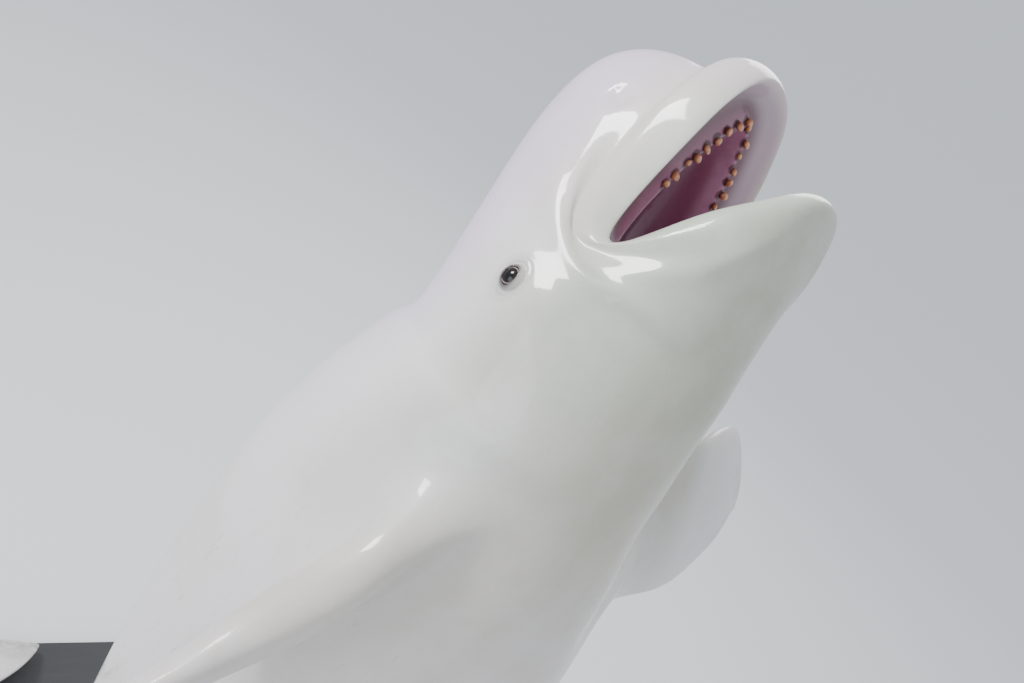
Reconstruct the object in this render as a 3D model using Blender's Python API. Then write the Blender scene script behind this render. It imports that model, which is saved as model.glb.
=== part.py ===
"""A beluga whale rising upright out of the water with its mouth open, life size, on a display stand.

Metres, +Z up. The origin is the middle of the underside of the stand's base. The belly faces -Y
and the animal's right side faces -X.

The animal is first modelled straight, in its own frame: the origin is midway between the corners
of the mouth, +X runs to the snout, +Y to the animal's left and +Z to its back. A cage of rings is
smoothed by subdivision, parted into the pieces of the body, and then bent into the pose.
"""

import math

import bmesh
import bpy
import numpy as np
from mathutils import Matrix, Vector

# The animal, straight
BODY_LENGTH = 3.70
GAPE = 0.28  # snout tip to the corners of the mouth
JAW_OPEN = math.radians(40)
GAP = 0.0003
TRUNK, LEFT_FLIPPER, RIGHT_FLIPPER, LEFT_FLUKE, RIGHT_FLUKE = range(5)
RING = 16
HALF_RING = RING // 2
CHEEK = RING // 4

# Rings of the head, from behind the eyes to the lips and on into the mouth, with the jaw shut.
# Each has the crown (x, z), the cheek (x, y, z) and the chin (x, z); how sharply the upper and
# the lower half close in plan and in height; how far the lower half hangs below the cheek; and
# the share of the jaw's swing that the lower half has.
HEAD_RINGS = {
    "nape": (
        (-0.200, 0.199), (-0.200, 0.185, -0.005), (-0.200, -0.206),
        (1.00, 1.00), (1.00, 1.00), 0.000, 0.00,
    ),
    "blowhole": (
        (-0.101, 0.211), (-0.115, 0.182, -0.003), (-0.113, -0.207),
        (1.00, 1.00), (1.00, 1.00), 0.000, 0.14,
    ),
    "brow": (
        (0.006, 0.232), (-0.069, 0.168, -0.003), (-0.010, -0.204),
        (1.00, 0.95), (1.00, 1.00), 0.000, 0.45,
    ),
    "melon": (
        (0.110, 0.242), (-0.043, 0.161, 0.000), (0.074, -0.168),
        (1.00, 0.90), (1.00, 0.90), 0.060, 0.80,
    ),
    "melon_front": (
        (0.206, 0.217), (-0.034, 0.154, 0.006), (0.144, -0.103),
        (0.95, 0.80), (1.00, 1.00), 0.120, 0.95,
    ),
    "melon_foot": (
        (0.250, 0.140), (-0.028, 0.149, 0.014), (0.189, -0.053),
        (0.88, 0.60), (0.95, 1.00), 0.150, 1.00,
    ),
    "groove": (
        (0.256, 0.074), (-0.022, 0.143, 0.023), (0.216, -0.025),
        (0.85, 0.45), (0.90, 3.00), 0.100, 1.00,
    ),
    "lip_top": (
        (0.279, 0.060), (-0.015, 0.144, 0.009), (0.233, -0.009),
        (0.82, 0.40), (0.90, 3.00), 0.055, 1.00,
    ),
    "lip": (
        (0.292, 0.029), (-0.007, 0.139, -0.005), (0.242, 0.009),
        (0.80, 0.40), (0.90, 3.00), 0.018, 1.00,
    ),
    "lip_edge": (
        (0.282, 0.001), (-0.003, 0.134, -0.012), (0.232, 0.023),
        (0.80, 1.00), (0.90, 3.00), 0.000, 1.00,
    ),
    "lip_inside": (
        (0.266, 0.010), (-0.002, 0.127, -0.010), (0.219, 0.017),
        (0.80, 0.50), (0.90, 3.00), 0.008, 1.00,
    ),
    "vestibule": (
        (0.246, 0.026), (-0.004, 0.114, -0.007), (0.205, -0.005),
        (1.00, 0.40), (1.00, 3.00), 0.045, 1.00,
    ),
    "gum": (
        (0.229, 0.012), (-0.008, 0.093, -0.008), (0.187, 0.005),
        (1.30, 0.40), (1.20, 3.00), 0.024, 1.00,
    ),
    "gum_inside": (
        (0.206, 0.026), (-0.014, 0.079, -0.008), (0.169, -0.011),
        (1.30, 0.40), (1.20, 3.00), 0.040, 1.00,
    ),
    "palate": (
        (0.134, 0.048), (-0.026, 0.066, -0.006), (0.112, -0.036),
        (1.10, 0.60), (1.05, 1.00), 0.040, 1.00,
    ),
    "fauces": (
        (0.020, 0.042), (-0.050, 0.056, -0.006), (0.030, -0.038),
        (1.00, 0.80), (1.00, 0.80), 0.000, 0.90,
    ),
    "throat": (
        (-0.075, 0.020), (-0.090, 0.032, -0.010), (-0.085, -0.040),
        (1.00, 1.00), (1.00, 1.00), 0.000, 0.10,
    ),
}

# Rings of the body: distance behind the snout tip, height of the back and depth of the belly
# from the body's axis, and half width.
BODY_RINGS = (
    (3.610, 0.020, 0.020, 0.046),
    (3.560, 0.026, 0.025, 0.052),
    (3.490, 0.038, 0.036, 0.056),
    (3.410, 0.054, 0.050, 0.058),
    (3.320, 0.076, 0.068, 0.061),
    (3.180, 0.106, 0.092, 0.070),
    (2.980, 0.142, 0.122, 0.096),
    (2.750, 0.184, 0.158, 0.133),
    (2.500, 0.224, 0.198, 0.176),
    (2.250, 0.256, 0.236, 0.217),
    (2.000, 0.280, 0.271, 0.252),
    (1.750, 0.290, 0.297, 0.280),
    (1.500, 0.292, 0.311, 0.295),
    (1.250, 0.290, 0.314, 0.300),
    (0.980, 0.284, 0.301, 0.291),
    (0.755, 0.272, 0.271, 0.266),
    (0.685, 0.263, 0.255, 0.248),
    (0.620, 0.250, 0.239, 0.230),
    (0.560, 0.231, 0.222, 0.211),
    (0.510, 0.212, 0.210, 0.195),
)
FLIPPER_RINGS = (18, 17, 16, 15)  # of BODY_RINGS, from the leading edge of the root back
FLIPPER_COLUMNS = (CHEEK + 1, CHEEK + 2)  # of the left half of a ring, above and below the root
FLUKE_RINGS = (4, 3, 2, 1)

# Flippers: span, and for each section the share of the span, chord, the lead of its front edge
# and the greatest half thickness.
FLIPPER_SPAN = 0.40
FLIPPER_SECTIONS = (
    (0.14, 0.160, 0.004, 0.034),
    (0.32, 0.180, 0.008, 0.026),
    (0.55, 0.215, 0.014, 0.018),
    (0.78, 0.205, 0.004, 0.013),
    (0.93, 0.140, -0.024, 0.009),
    (1.00, 0.060, -0.070, 0.006),
)
FLIPPER_CHORD_SHARES = (0.03, 0.30, 0.66, 0.97)
FLIPPER_THICKNESS = (0.62, 1.00, 0.72, 0.16)
FLIPPER_TIP_CURL = 0.045
# Sweep towards the tail, droop below level and turn about its own span, in degrees
FLIPPER_POSE = {"left": (-12, -25, -30), "right": (35, 20, -14)}

# Flukes: for each section the distance from the middle, the front edge's and the trailing edge's
# distance behind the snout tip, and the greatest half thickness.
FLUKE_SECTIONS = (
    (0.100, 3.345, 3.625, 0.026),
    (0.180, 3.395, 3.668, 0.021),
    (0.280, 3.462, 3.695, 0.016),
    (0.370, 3.535, 3.690, 0.012),
    (0.440, 3.605, 3.672, 0.008),
    (0.468, 3.640, 3.662, 0.005),
)
FLUKE_CHORD_SHARES = (0.05, 0.30, 0.64, 0.96)
FLUKE_THICKNESS = (0.60, 1.00, 0.70, 0.20)

# Pose. Each bend turns the body, over a stretch of its length behind the snout tip, by a pitch
# (the tail swings to the back), a yaw (the tail swings to the left) and a twist about the body.
BENDS = (
    ("neck", 0.36, 0.80, 17, -25, -17),
    ("loin", 1.60, 3.15, 56, 24, 0),
)
UPRIGHT = 1.20  # distance behind the snout tip where the body stands upright
SHOULDER = 0.80  # distance behind the snout tip whose frame carries the flippers
FLIPPERS_START = 0.24  # half width beyond which points follow the shoulder
FLIPPERS_END = 0.36
TRUNK_END = 1.60
UPRIGHT_PLACE = (0.10, -0.35, 2.16)
POSE_STEP = 0.01
SMOOTHING = 1  # rounds of subdivision

# Pieces of the trunk, by where they start and end behind the snout tip
SLABS = (
    ("neck", 0.42, 0.53),
    ("shoulders", 0.53, 0.95),
    ("chest", 0.95, 1.45),
    ("belly", 1.45, 2.00),
    ("loin", 2.00, 2.60),
    ("tail_stock", 2.60, 3.20),
    ("tail_end", 3.20, None),
)
LIMBS = (
    ("flipper_left", LEFT_FLIPPER),
    ("flipper_right", RIGHT_FLIPPER),
    ("fluke_left", LEFT_FLUKE),
    ("fluke_right", RIGHT_FLUKE),
)
FLIPPER_STUB = 0.095  # how far out from its root a flipper is parted from the trunk
FLUKE_STUB = 0.085

# The lower jaw is cut from the head along two planes that meet behind the corners of the mouth
WEDGE_APEX = (-0.018, -0.010)
WEDGE_FORWARD = math.radians(20)  # of the plane through the open mouth, down from level
WEDGE_DOWN = math.radians(19)  # of the plane behind the jaw, back from straight down
WEDGE_REACH = 0.70

# Teeth: a row of short worn pegs along each gum
UPPER_TEETH, LOWER_TEETH = 10, 8  # on each side
TOOTH_PITCH = 0.0165
TOOTH_SIDES = 6
TOOTH_PROFILE = ((0.0040, -0.010), (0.0052, 0.001), (0.0047, 0.006), (0.0026, 0.009))

# Eyes
EYE = (-0.103, 0.178, 0.027)  # where the left one looks out through the skin
EYE_LOOK = (0.12, 1.0, 0.08)
EYE_SLANT = math.radians(10)
EYE_RADIUS = 0.0190
EYE_DEPTH = 0.0130  # of its middle below the skin
LID_RADIUS = 0.0215
EYE_OPENING = (0.025, 0.018)

# Blowhole, on the crown behind the melon
BLOWHOLE = (-0.095, 0.006, 0.212)
BLOWHOLE_RADIUS = 0.030
BLOWHOLE_SLIT = 0.004
BLOWHOLE_DEPTH = 0.020
BLOWHOLE_HALF_TURN = math.radians(62)

# Tongue, before the jaw swings open
TONGUE_MIDDLE = (0.080, 0, -0.026)
TONGUE_RADII = (0.085, 0.040, 0.020)

# Stand
BASE_SIZE = (1.40, 1.70, 0.045)
BASE_CORNER = 0.12
RODS = (
    ("stand_rod_front", (0.10, -0.30), 0.040),
    ("stand_rod_rear", (-0.20, 0.40), 0.020),
)
ROD_DEPTH = 0.10  # of its top inside the whale
FLANGE = 0.012

# Finishes: colour, roughness and metallic value
FINISHES = {
    "skin": ((0.80, 0.79, 0.76), 0.35, 0.0),
    "eye": ((0.03, 0.025, 0.025), 0.08, 0.0),
    "tongue": ((0.55, 0.28, 0.36), 0.35, 0.0),
    "base": ((0.08, 0.085, 0.09), 0.45, 0.0),
    "rod": ((0.55, 0.56, 0.57), 0.30, 1.0),
}
FINISH_OF = {
    "eye_left": "eye",
    "eye_right": "eye",
    "tongue": "tongue",
    "stand_base": "base",
    "stand_rod_front": "rod",
    "stand_rod_rear": "rod",
}


def head_point(name, turn, lower):
    """A point of the left half of a head ring, by its turn from the crown down to the chin."""
    crown, cheek, chin, *fullness, drop, share = HEAD_RINGS[name]
    plan, rise = fullness[lower]
    end = (chin[0], chin[1] + drop) if lower else crown
    along = max(0.0, abs(math.cos(turn)))
    out = max(0.0, math.sin(turn))
    x = cheek[0] + (end[0] - cheek[0]) * along**plan
    y = cheek[1] * out**plan
    z = cheek[2] + (end[1] - cheek[2]) * along**rise
    if lower:
        z -= drop * (1 - (1 - along) ** 3)
        swing = JAW_OPEN * share
        x, z = (
            x * math.cos(swing) + z * math.sin(swing),
            z * math.cos(swing) - x * math.sin(swing),
        )
    return x, y, z


def head_ring(name):
    """The sixteen points of one ring of the head, from the crown down the left side and back."""
    half = [head_point(name, math.pi * k / HALF_RING, k > CHEEK) for k in range(HALF_RING + 1)]
    for k in (0, HALF_RING):
        half[k] = (half[k][0], 0.0, half[k][2])
    return mirrored(half)


def body_ring(behind, back, belly, width):
    """The sixteen points of one ring of the body, square to its axis."""
    half = []
    for k in range(HALF_RING + 1):
        turn = math.pi * k / HALF_RING
        height = back if k <= CHEEK else belly
        y = width * math.sin(turn) if 0 < k < HALF_RING else 0.0
        z = height * math.cos(turn) if k != CHEEK else 0.0
        half.append((GAPE - behind, y, z))
    return mirrored(half)


def mirrored(half):
    """The whole ring of a left half."""
    return half + [(x, -y, z) for x, y, z in reversed(half[1:-1])]


class Cage:
    """Points and faces of the coarse cage. Each face has a tag that says which limb it is on."""

    def __init__(self):
        self.points = []
        self.faces = []
        self.tags = []
        self.tag = TRUNK

    def add_ring(self, points):
        start = len(self.points)
        self.points.extend(points)
        return list(range(start, start + len(points)))

    def bridge(self, first, second, skipped=()):
        """Faces between two rings. Seen from outside, the second ring is towards the snout."""
        count = len(first)
        for k in range(count):
            if k in skipped:
                continue
            n = (k + 1) % count
            self.faces.append((first[n], first[k], second[k], second[n]))
            self.tags.append(self.tag)

    def cap(self, top, bottom, flip):
        """Faces across a ring, between its two sides, which share their end points."""
        for i in range(len(top) - 1):
            loop = [top[i], top[i + 1], bottom[i + 1], bottom[i]]
            loop = [v for j, v in enumerate(loop) if v != loop[j - 1]]
            self.faces.append(tuple(loop) if flip else tuple(reversed(loop)))
            self.tags.append(self.tag)

    def drop_loose(self):
        """Leaves out the points that no face uses."""
        used = sorted({v for face in self.faces for v in face})
        place = {v: i for i, v in enumerate(used)}
        self.points = [self.points[v] for v in used]
        self.faces = [tuple(place[v] for v in face) for face in self.faces]


def unit(vector):
    vector = np.asarray(vector, float)
    return vector / np.linalg.norm(vector)


def turned(vector, axis, angle):
    return np.array(Matrix.Rotation(angle, 3, Vector(axis)) @ Vector(vector))


def flipper_axis(side):
    """Which way a flipper points, and the middle of its root."""
    sign = 1 if side == "left" else -1
    sweep, droop, _ = (math.radians(v) for v in FLIPPER_POSE[side])
    level = np.array([-math.sin(sweep), sign * math.cos(sweep), 0.0])
    out = unit(level * math.cos(droop) - np.array([0, 0, math.sin(droop)]))
    corners = [body_ring(*BODY_RINGS[i])[k] for i in FLIPPER_RINGS for k in FLIPPER_COLUMNS]
    return out, np.mean(corners, axis=0) * (1, sign, 1)


def flipper_rings(side):
    """Sections of one flipper, from its root on the body out to its tip."""
    sign = 1 if side == "left" else -1
    turn = math.radians(FLIPPER_POSE[side][2])
    out, root_middle = flipper_axis(side)
    lead = unit(np.array([1.0, 0, 0]) - out * out[0])
    thick = unit(np.cross(lead, out)) * sign
    lead = turned(lead, out, turn)
    thick = turned(thick, out, turn)
    rings = []
    for share, chord, ahead, half_thickness in FLIPPER_SECTIONS:
        settle = min(1.0, share / 0.30)
        front = unit(np.array([1.0, 0, 0]) * (1 - settle) + lead * settle)
        middle = root_middle + out * FLIPPER_SPAN * share
        middle = middle + thick * FLIPPER_TIP_CURL * share**3
        edge = middle + front * (chord / 2 + ahead)
        top, bottom = [], []
        for q, fullness in zip(FLIPPER_CHORD_SHARES, FLIPPER_THICKNESS):
            place = edge - front * chord * q
            half = thick * half_thickness * fullness
            top.append(place + half)
            bottom.append(place - half)
        rings.append(top + bottom[::-1])
    return rings


def fluke_rings(sign):
    """Sections of one fluke, each from the front edge over the top to the trailing edge and back."""
    rings = []
    for out, front, trailing, half_thickness in FLUKE_SECTIONS:
        chord = trailing - front
        top, bottom = [], []
        for q, fullness in zip(FLUKE_CHORD_SHARES, FLUKE_THICKNESS):
            x = GAPE - front - chord * q
            top.append((x, sign * out, half_thickness * fullness))
            bottom.append((x, sign * out, -half_thickness * fullness))
        nose = (GAPE - front, sign * out, 0.0)
        tail = (GAPE - trailing, sign * out, 0.0)
        rings.append([nose] + top + [tail] + bottom[::-1])
    return rings


def whale_cage():
    """The cage of the whole animal: one closed skin from the notch of the flukes into the throat."""
    cage = Cage()
    rings = [cage.add_ring(body_ring(*row)) for row in BODY_RINGS]
    rings += [cage.add_ring(head_ring(name)) for name in HEAD_RINGS]
    left_flipper, right_flipper = CHEEK + 1, RING - CHEEK - 2
    fluke_sides = (CHEEK - 1, CHEEK, RING - CHEEK - 1, RING - CHEEK)
    for i, (first, second) in enumerate(zip(rings, rings[1:])):
        skipped = set()
        if i in FLIPPER_RINGS[1:]:
            skipped |= {left_flipper, right_flipper}
        if i in FLUKE_RINGS[1:]:
            skipped |= set(fluke_sides)
        cage.bridge(first, second, skipped)
    for end, flip in ((rings[0], True), (rings[-1], False)):
        left = end[: HALF_RING + 1]
        right = [end[0]] + end[:HALF_RING - 1:-1]
        cage.cap(left, right, flip)
    for side, k in (("left", left_flipper), ("right", right_flipper)):
        upper, lower = (k, k + 1) if side == "left" else (k + 1, k)
        root = [rings[i][upper] for i in FLIPPER_RINGS] + [rings[i][lower] for i in FLIPPER_RINGS[::-1]]
        sections = flipper_rings(side)
        cage.tag = LEFT_FLIPPER if side == "left" else RIGHT_FLIPPER
        limb(cage, root, sections, side == "left", False)
    for sign in (1, -1):
        upper, middle, lower = (CHEEK - sign, CHEEK, CHEEK + sign)
        if sign < 0:
            upper, middle, lower = (RING - CHEEK + 1, RING - CHEEK, RING - CHEEK - 1)
        root = [rings[FLUKE_RINGS[0]][middle]]
        root += [rings[i][upper] for i in FLUKE_RINGS]
        root += [rings[FLUKE_RINGS[-1]][middle]]
        root += [rings[i][lower] for i in FLUKE_RINGS[::-1]]
        cage.tag = LEFT_FLUKE if sign > 0 else RIGHT_FLUKE
        limb(cage, root, fluke_rings(sign), sign > 0, True)
    cage.drop_loose()
    return cage


def limb(cage, root, sections, left, edged):
    """Joins a flipper's or a fluke's sections to its root and closes its tip."""
    rings = [root] + [cage.add_ring(section) for section in sections]
    for first, second in zip(rings, rings[1:]):
        if left:
            cage.bridge(first, second)
        else:
            cage.bridge(second, first)
    tip = rings[-1]
    half = len(tip) // 2
    if edged:
        top = tip[: half + 1]
        bottom = [tip[0]] + tip[:half - 1:-1]
    else:
        top = tip[:half]
        bottom = tip[:half - 1:-1]
    cage.cap(top, bottom, not left)


def fitted(points, faces, rounds=6):
    """Cage points moved out until the smooth surface passes through the points that were given."""
    targets = np.array(points, float)
    around = [set() for _ in targets]
    across = [[] for _ in targets]
    for face in faces:
        for j, v in enumerate(face):
            around[v] |= {face[j - 1], face[(j + 1) % len(face)]}
            across[v].append(face[(j + 2) % len(face)])
    cage = targets.copy()
    for _ in range(rounds):
        limit = np.empty_like(cage)
        for v, (ring, far) in enumerate(zip(around, across)):
            n = len(ring)
            total = cage[list(ring)].sum(axis=0) * 4 + cage[far].sum(axis=0)
            limit[v] = (cage[v] * n * n + total) / (n * n + 4 * n + len(far))
        cage += (targets - limit) * 0.8
    return cage


def smooth_whale(levels):
    """The straight animal's smooth mesh."""
    cage = whale_cage()
    mesh = bpy.data.meshes.new("cage")
    mesh.from_pydata([tuple(p) for p in fitted(cage.points, cage.faces)], [], cage.faces)
    for tag in range(RIGHT_FLUKE + 1):
        mesh.materials.append(None)
    mesh.polygons.foreach_set("material_index", cage.tags)
    holder = bpy.data.objects.new("cage", mesh)
    bpy.context.scene.collection.objects.link(holder)
    smoother = holder.modifiers.new("Subdivision", "SUBSURF")
    smoother.levels = levels
    smoother.render_levels = levels
    graph = bpy.context.evaluated_depsgraph_get()
    smooth = bpy.data.meshes.new_from_object(holder.evaluated_get(graph))
    bpy.data.objects.remove(holder)
    shape = bmesh.new()
    shape.from_mesh(smooth)
    bmesh.ops.triangulate(shape, faces=shape.faces)
    shape.to_mesh(smooth)
    shape.free()
    return smooth


def smoothstep(t):
    t = min(1.0, max(0.0, t))
    return t * t * (3 - 2 * t)


def pose_frames():
    """Places and axes along the posed body, one for each step behind the snout tip."""
    behind = np.arange(-0.10, BODY_LENGTH + 0.20, POSE_STEP)
    axes = Matrix.Identity(3)
    place = Vector((0, 0, 0))
    places, turns = [], []
    for a in behind:
        places.append(np.array(place))
        turns.append(np.array(axes))
        place = place - axes @ Vector((POSE_STEP, 0, 0))
        for _, start, end, *angles in BENDS:
            span = end - start
            step = smoothstep((a + POSE_STEP - start) / span) - smoothstep((a - start) / span)
            for angle, axis in zip(angles, ("Y", "Z", "X")):
                axes = axes @ Matrix.Rotation(math.radians(angle) * step, 3, axis)
    places, turns = np.array(places), np.array(turns)
    still = int(round((UPRIGHT - behind[0]) / POSE_STEP))
    upright = np.array(((0, 1, 0), (0, 0, 1), (1, 0, 0))) @ turns[still].T
    places = (places - places[still]) @ upright.T + UPRIGHT_PLACE
    return behind, places, upright @ turns


def posed(points):
    """Points of the straight animal, bent into the pose. The flippers follow the shoulder."""
    behind, places, turns = pose_frames()
    points = np.asarray(points, float)
    station = GAPE - points[:, 0]
    out = (np.abs(points[:, 1]) - FLIPPERS_START) / (FLIPPERS_END - FLIPPERS_START)
    out = np.clip(out, 0, 1) * (station < TRUNK_END)
    out = out * out * (3 - 2 * out)
    station = station * (1 - out) + SHOULDER * out
    index = np.clip((station - behind[0]) / POSE_STEP, 0, len(behind) - 1.001)
    low = index.astype(int)
    share = (index - low)[:, None]
    place = places[low] * (1 - share) + places[low + 1] * share
    turn = turns[low] * (1 - share[..., None]) + turns[low + 1] * share[..., None]
    local = np.column_stack([points[:, 0] - (GAPE - station), points[:, 1], points[:, 2]])
    return place + np.einsum("nij,nj->ni", turn, local)


def rounded_bar(profile, sides):
    """A solid of revolution about +Z from its profile of (radius, height), bottom to top."""
    shape = bmesh.new()
    rings = []
    for radius, height in profile:
        ring = []
        for k in range(sides):
            turn = 2 * math.pi * k / sides
            ring.append(shape.verts.new((radius * math.cos(turn), radius * math.sin(turn), height)))
        rings.append(ring)
    for low, high in zip(rings, rings[1:]):
        for k in range(sides):
            n = (k + 1) % sides
            shape.faces.new((low[k], low[n], high[n], high[k]))
    shape.faces.new(rings[0][::-1])
    shape.faces.new(rings[-1])
    return shape


def ball(radii, segments, rings):
    """An ellipsoid about the origin."""
    shape = bmesh.new()
    bmesh.ops.create_uvsphere(shape, u_segments=segments, v_segments=rings, radius=1)
    bmesh.ops.scale(shape, vec=radii, verts=shape.verts)
    return shape


def prism(outline, depth):
    """An outline in the XZ plane, drawn out both ways along Y."""
    shape = bmesh.new()
    near = [shape.verts.new((x, -depth / 2, z)) for x, z in outline]
    far = [shape.verts.new((x, depth / 2, z)) for x, z in outline]
    shape.faces.new(near)
    shape.faces.new(far[::-1])
    for k in range(len(outline)):
        n = (k + 1) % len(outline)
        shape.faces.new((near[n], near[k], far[k], far[n]))
    bmesh.ops.recalc_face_normals(shape, faces=shape.faces)
    return shape


def placed(shape, matrix):
    bmesh.ops.transform(shape, matrix=matrix, verts=shape.verts)
    return shape


def solid(name, shape):
    """A new object from a bmesh."""
    mesh = bpy.data.meshes.new(name)
    shape.to_mesh(mesh)
    shape.free()
    holder = bpy.data.objects.new(name, mesh)
    bpy.context.scene.collection.objects.link(holder)
    return holder


def combine(body, tool, operation, keep_tool=False):
    """Applies one Boolean operation to a body."""
    modifier = body.modifiers.new("Boolean", "BOOLEAN")
    modifier.operation = operation
    modifier.object = tool
    graph = bpy.context.evaluated_depsgraph_get()
    result = bpy.data.meshes.new_from_object(body.evaluated_get(graph))
    body.modifiers.clear()
    old = body.data
    body.data = result
    bpy.data.meshes.remove(old)
    if not keep_tool:
        bpy.data.objects.remove(tool)


def close_holes(shape):
    """Fills each open rim with a fan, so that two neighbours' ends keep the same shape."""
    rims = [edge for edge in shape.edges if edge.is_boundary]
    ends = bmesh.ops.holes_fill(shape, edges=rims, sides=0)["faces"]
    bmesh.ops.poke(shape, faces=ends)


def beyond(shape, faces, point, normal):
    """Cuts faces by a plane and returns those on its far side."""
    parts = set(faces)
    for face in faces:
        parts.update(face.verts)
        parts.update(face.edges)
    cut = bmesh.ops.bisect_plane(
        shape, geom=list(parts), dist=1e-6, plane_co=point, plane_no=normal
    )
    tags = {face.material_index for face in faces if face.is_valid}
    point, normal = Vector(point), Vector(normal)
    kept = [part for part in cut["geom"] if isinstance(part, bmesh.types.BMFace)]
    return [f for f in kept if f.material_index in tags and (f.calc_center_median() - point) @ normal > 0]


def limb_planes():
    """For each limb, the point and direction of the plane that parts it from the trunk."""
    planes = {}
    for side, tag in (("left", LEFT_FLIPPER), ("right", RIGHT_FLIPPER)):
        out, middle = flipper_axis(side)
        planes[tag] = (middle + out * FLIPPER_STUB, out)
    for sign, tag in ((1, LEFT_FLUKE), (-1, RIGHT_FLUKE)):
        planes[tag] = (np.array((0, sign * FLUKE_STUB, 0)), np.array((0, sign, 0)))
    return planes


def limb_solid(smooth, tag, name):
    """One flipper or fluke, cut from the smooth whale."""
    point, out = limb_planes()[tag]
    shape = bmesh.new()
    shape.from_mesh(smooth)
    own = [face for face in shape.faces if face.material_index == tag]
    keep = set(beyond(shape, own, point + out * GAP / 2, out))
    rest = [face for face in shape.faces if face not in keep]
    bmesh.ops.delete(shape, geom=rest, context="FACES")
    close_holes(shape)
    return solid(name, shape)


def trunk_shape(smooth):
    """The smooth whale without its flippers and flukes."""
    shape = bmesh.new()
    shape.from_mesh(smooth)
    for tag, (point, out) in limb_planes().items():
        own = [face for face in shape.faces if face.material_index == tag]
        gone = beyond(shape, own, point - out * GAP / 2, out)
        bmesh.ops.delete(shape, geom=gone, context="FACES")
        close_holes(shape)
    return shape


def slab(trunk, name, start, end):
    """The length of the trunk between two distances behind the snout tip, with flat ends."""
    shape = trunk.copy()
    for behind, outward in ((start, 1), (end, -1)):
        if behind is None:
            continue
        bmesh.ops.bisect_plane(
            shape,
            geom=list(shape.verts) + list(shape.edges) + list(shape.faces),
            dist=1e-6,
            plane_co=(GAPE - behind - outward * GAP / 2, 0, 0),
            plane_no=(outward, 0, 0),
            clear_outer=True,
        )
        close_holes(shape)
    return solid(name, shape)


def jaw_wedge(clearance):
    """The space that the lower jaw is cut from, larger all round by a clearance."""
    forward = Vector((math.cos(WEDGE_FORWARD), -math.sin(WEDGE_FORWARD)))
    down = Vector((-math.sin(WEDGE_DOWN), -math.cos(WEDGE_DOWN)))
    half_angle = forward.angle(down) / 2
    apex = Vector(WEDGE_APEX) - (forward + down).normalized() * clearance / math.sin(half_angle)
    front = apex + forward * WEDGE_REACH
    back = apex + down * WEDGE_REACH
    corner = apex + (forward + down) * WEDGE_REACH
    return solid("jaw_wedge", prism([apex, front, corner, back], 1.0))


def jaw_turn():
    """The swing of the lower jaw from shut to open, about the corners of the mouth."""
    return Matrix.Rotation(JAW_OPEN, 4, "Y")


def tooth_row(lower):
    """Roots and growing direction of one jaw's teeth, evenly spaced along its gum."""
    count = LOWER_TEETH if lower else UPPER_TEETH
    path = []
    for k in range(101):
        turn = math.pi / 2 * (1 + k / 100) if lower else math.pi / 2 * (1 - k / 100)
        path.append(Vector(head_point("gum", turn, lower)))
    path.reverse()
    grown = Vector((0, 0, 1)) if lower else Vector((0, 0, -1))
    if lower:
        grown = jaw_turn().to_3x3() @ grown
    roots = []
    walked = 0.0
    for here, there in zip(path, path[1:]):
        walked += (there - here).length
        if len(roots) < count and walked >= TOOTH_PITCH * (len(roots) + 0.5):
            roots.append(there)
    return roots, grown


def add_teeth(jaw, lower):
    """Grows one jaw's teeth, as one body with the jaw."""
    roots, grown = tooth_row(lower)
    teeth = bmesh.new()
    for root in roots:
        for sign in (1, -1):
            place = Vector((root.x, root.y * sign, root.z))
            aim = grown.to_track_quat("Z", "Y").to_matrix().to_4x4()
            tooth = placed(rounded_bar(TOOTH_PROFILE, TOOTH_SIDES), Matrix.Translation(place) @ aim)
            piece = bpy.data.meshes.new("tooth")
            tooth.to_mesh(piece)
            tooth.free()
            teeth.from_mesh(piece)
            bpy.data.meshes.remove(piece)
    combine(jaw, solid("teeth", teeth), "UNION")


def eye_frame(sign):
    """Place of an eyeball: +Z looks out of the head, +X along the opening between the lids."""
    out = Vector((EYE_LOOK[0], sign * EYE_LOOK[1], EYE_LOOK[2])).normalized()
    along = Vector((1, 0, 0)) - out * out.x
    along = (Matrix.Rotation(-sign * EYE_SLANT, 3, out) @ along).normalized()
    frame = Matrix((along, out.cross(along), out)).transposed().to_4x4()
    skin = Vector((EYE[0], sign * EYE[1], EYE[2]))
    return Matrix.Translation(skin - out * EYE_DEPTH) @ frame


def add_eye(head, name, sign):
    """Raises the lids around one eye, opens them, and returns the eyeball."""
    frame = eye_frame(sign)
    combine(head, solid("lids", placed(ball((LID_RADIUS,) * 3, 16, 10), frame)), "UNION")
    combine(head, solid("socket", placed(ball((EYE_RADIUS + GAP,) * 3, 16, 10), frame)), "DIFFERENCE")
    opening = rounded_bar(((1, 0), (1, LID_RADIUS * 1.4)), 16)
    bmesh.ops.scale(opening, vec=(EYE_OPENING[0] / 2, EYE_OPENING[1] / 2, 1), verts=opening.verts)
    combine(head, solid("opening", placed(opening, frame)), "DIFFERENCE")
    return solid(name, placed(ball((EYE_RADIUS,) * 3, 16, 10), frame))


def cut_blowhole(head):
    """The shut blowhole: a crescent slit across the crown, its ends turned to the tail."""
    outline = []
    for radius, order in ((BLOWHOLE_RADIUS, 1), (BLOWHOLE_RADIUS - BLOWHOLE_SLIT, -1)):
        steps = range(-4, 5)[::order]
        for k in steps:
            turn = BLOWHOLE_HALF_TURN * k / 4
            outline.append((radius * math.cos(turn) - BLOWHOLE_RADIUS, radius * math.sin(turn)))
    slit = placed(prism(outline, BLOWHOLE_DEPTH * 2), Matrix.Rotation(-math.pi / 2, 4, "X"))
    combine(head, solid("slit", placed(slit, Matrix.Translation(BLOWHOLE))), "DIFFERENCE")


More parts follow.
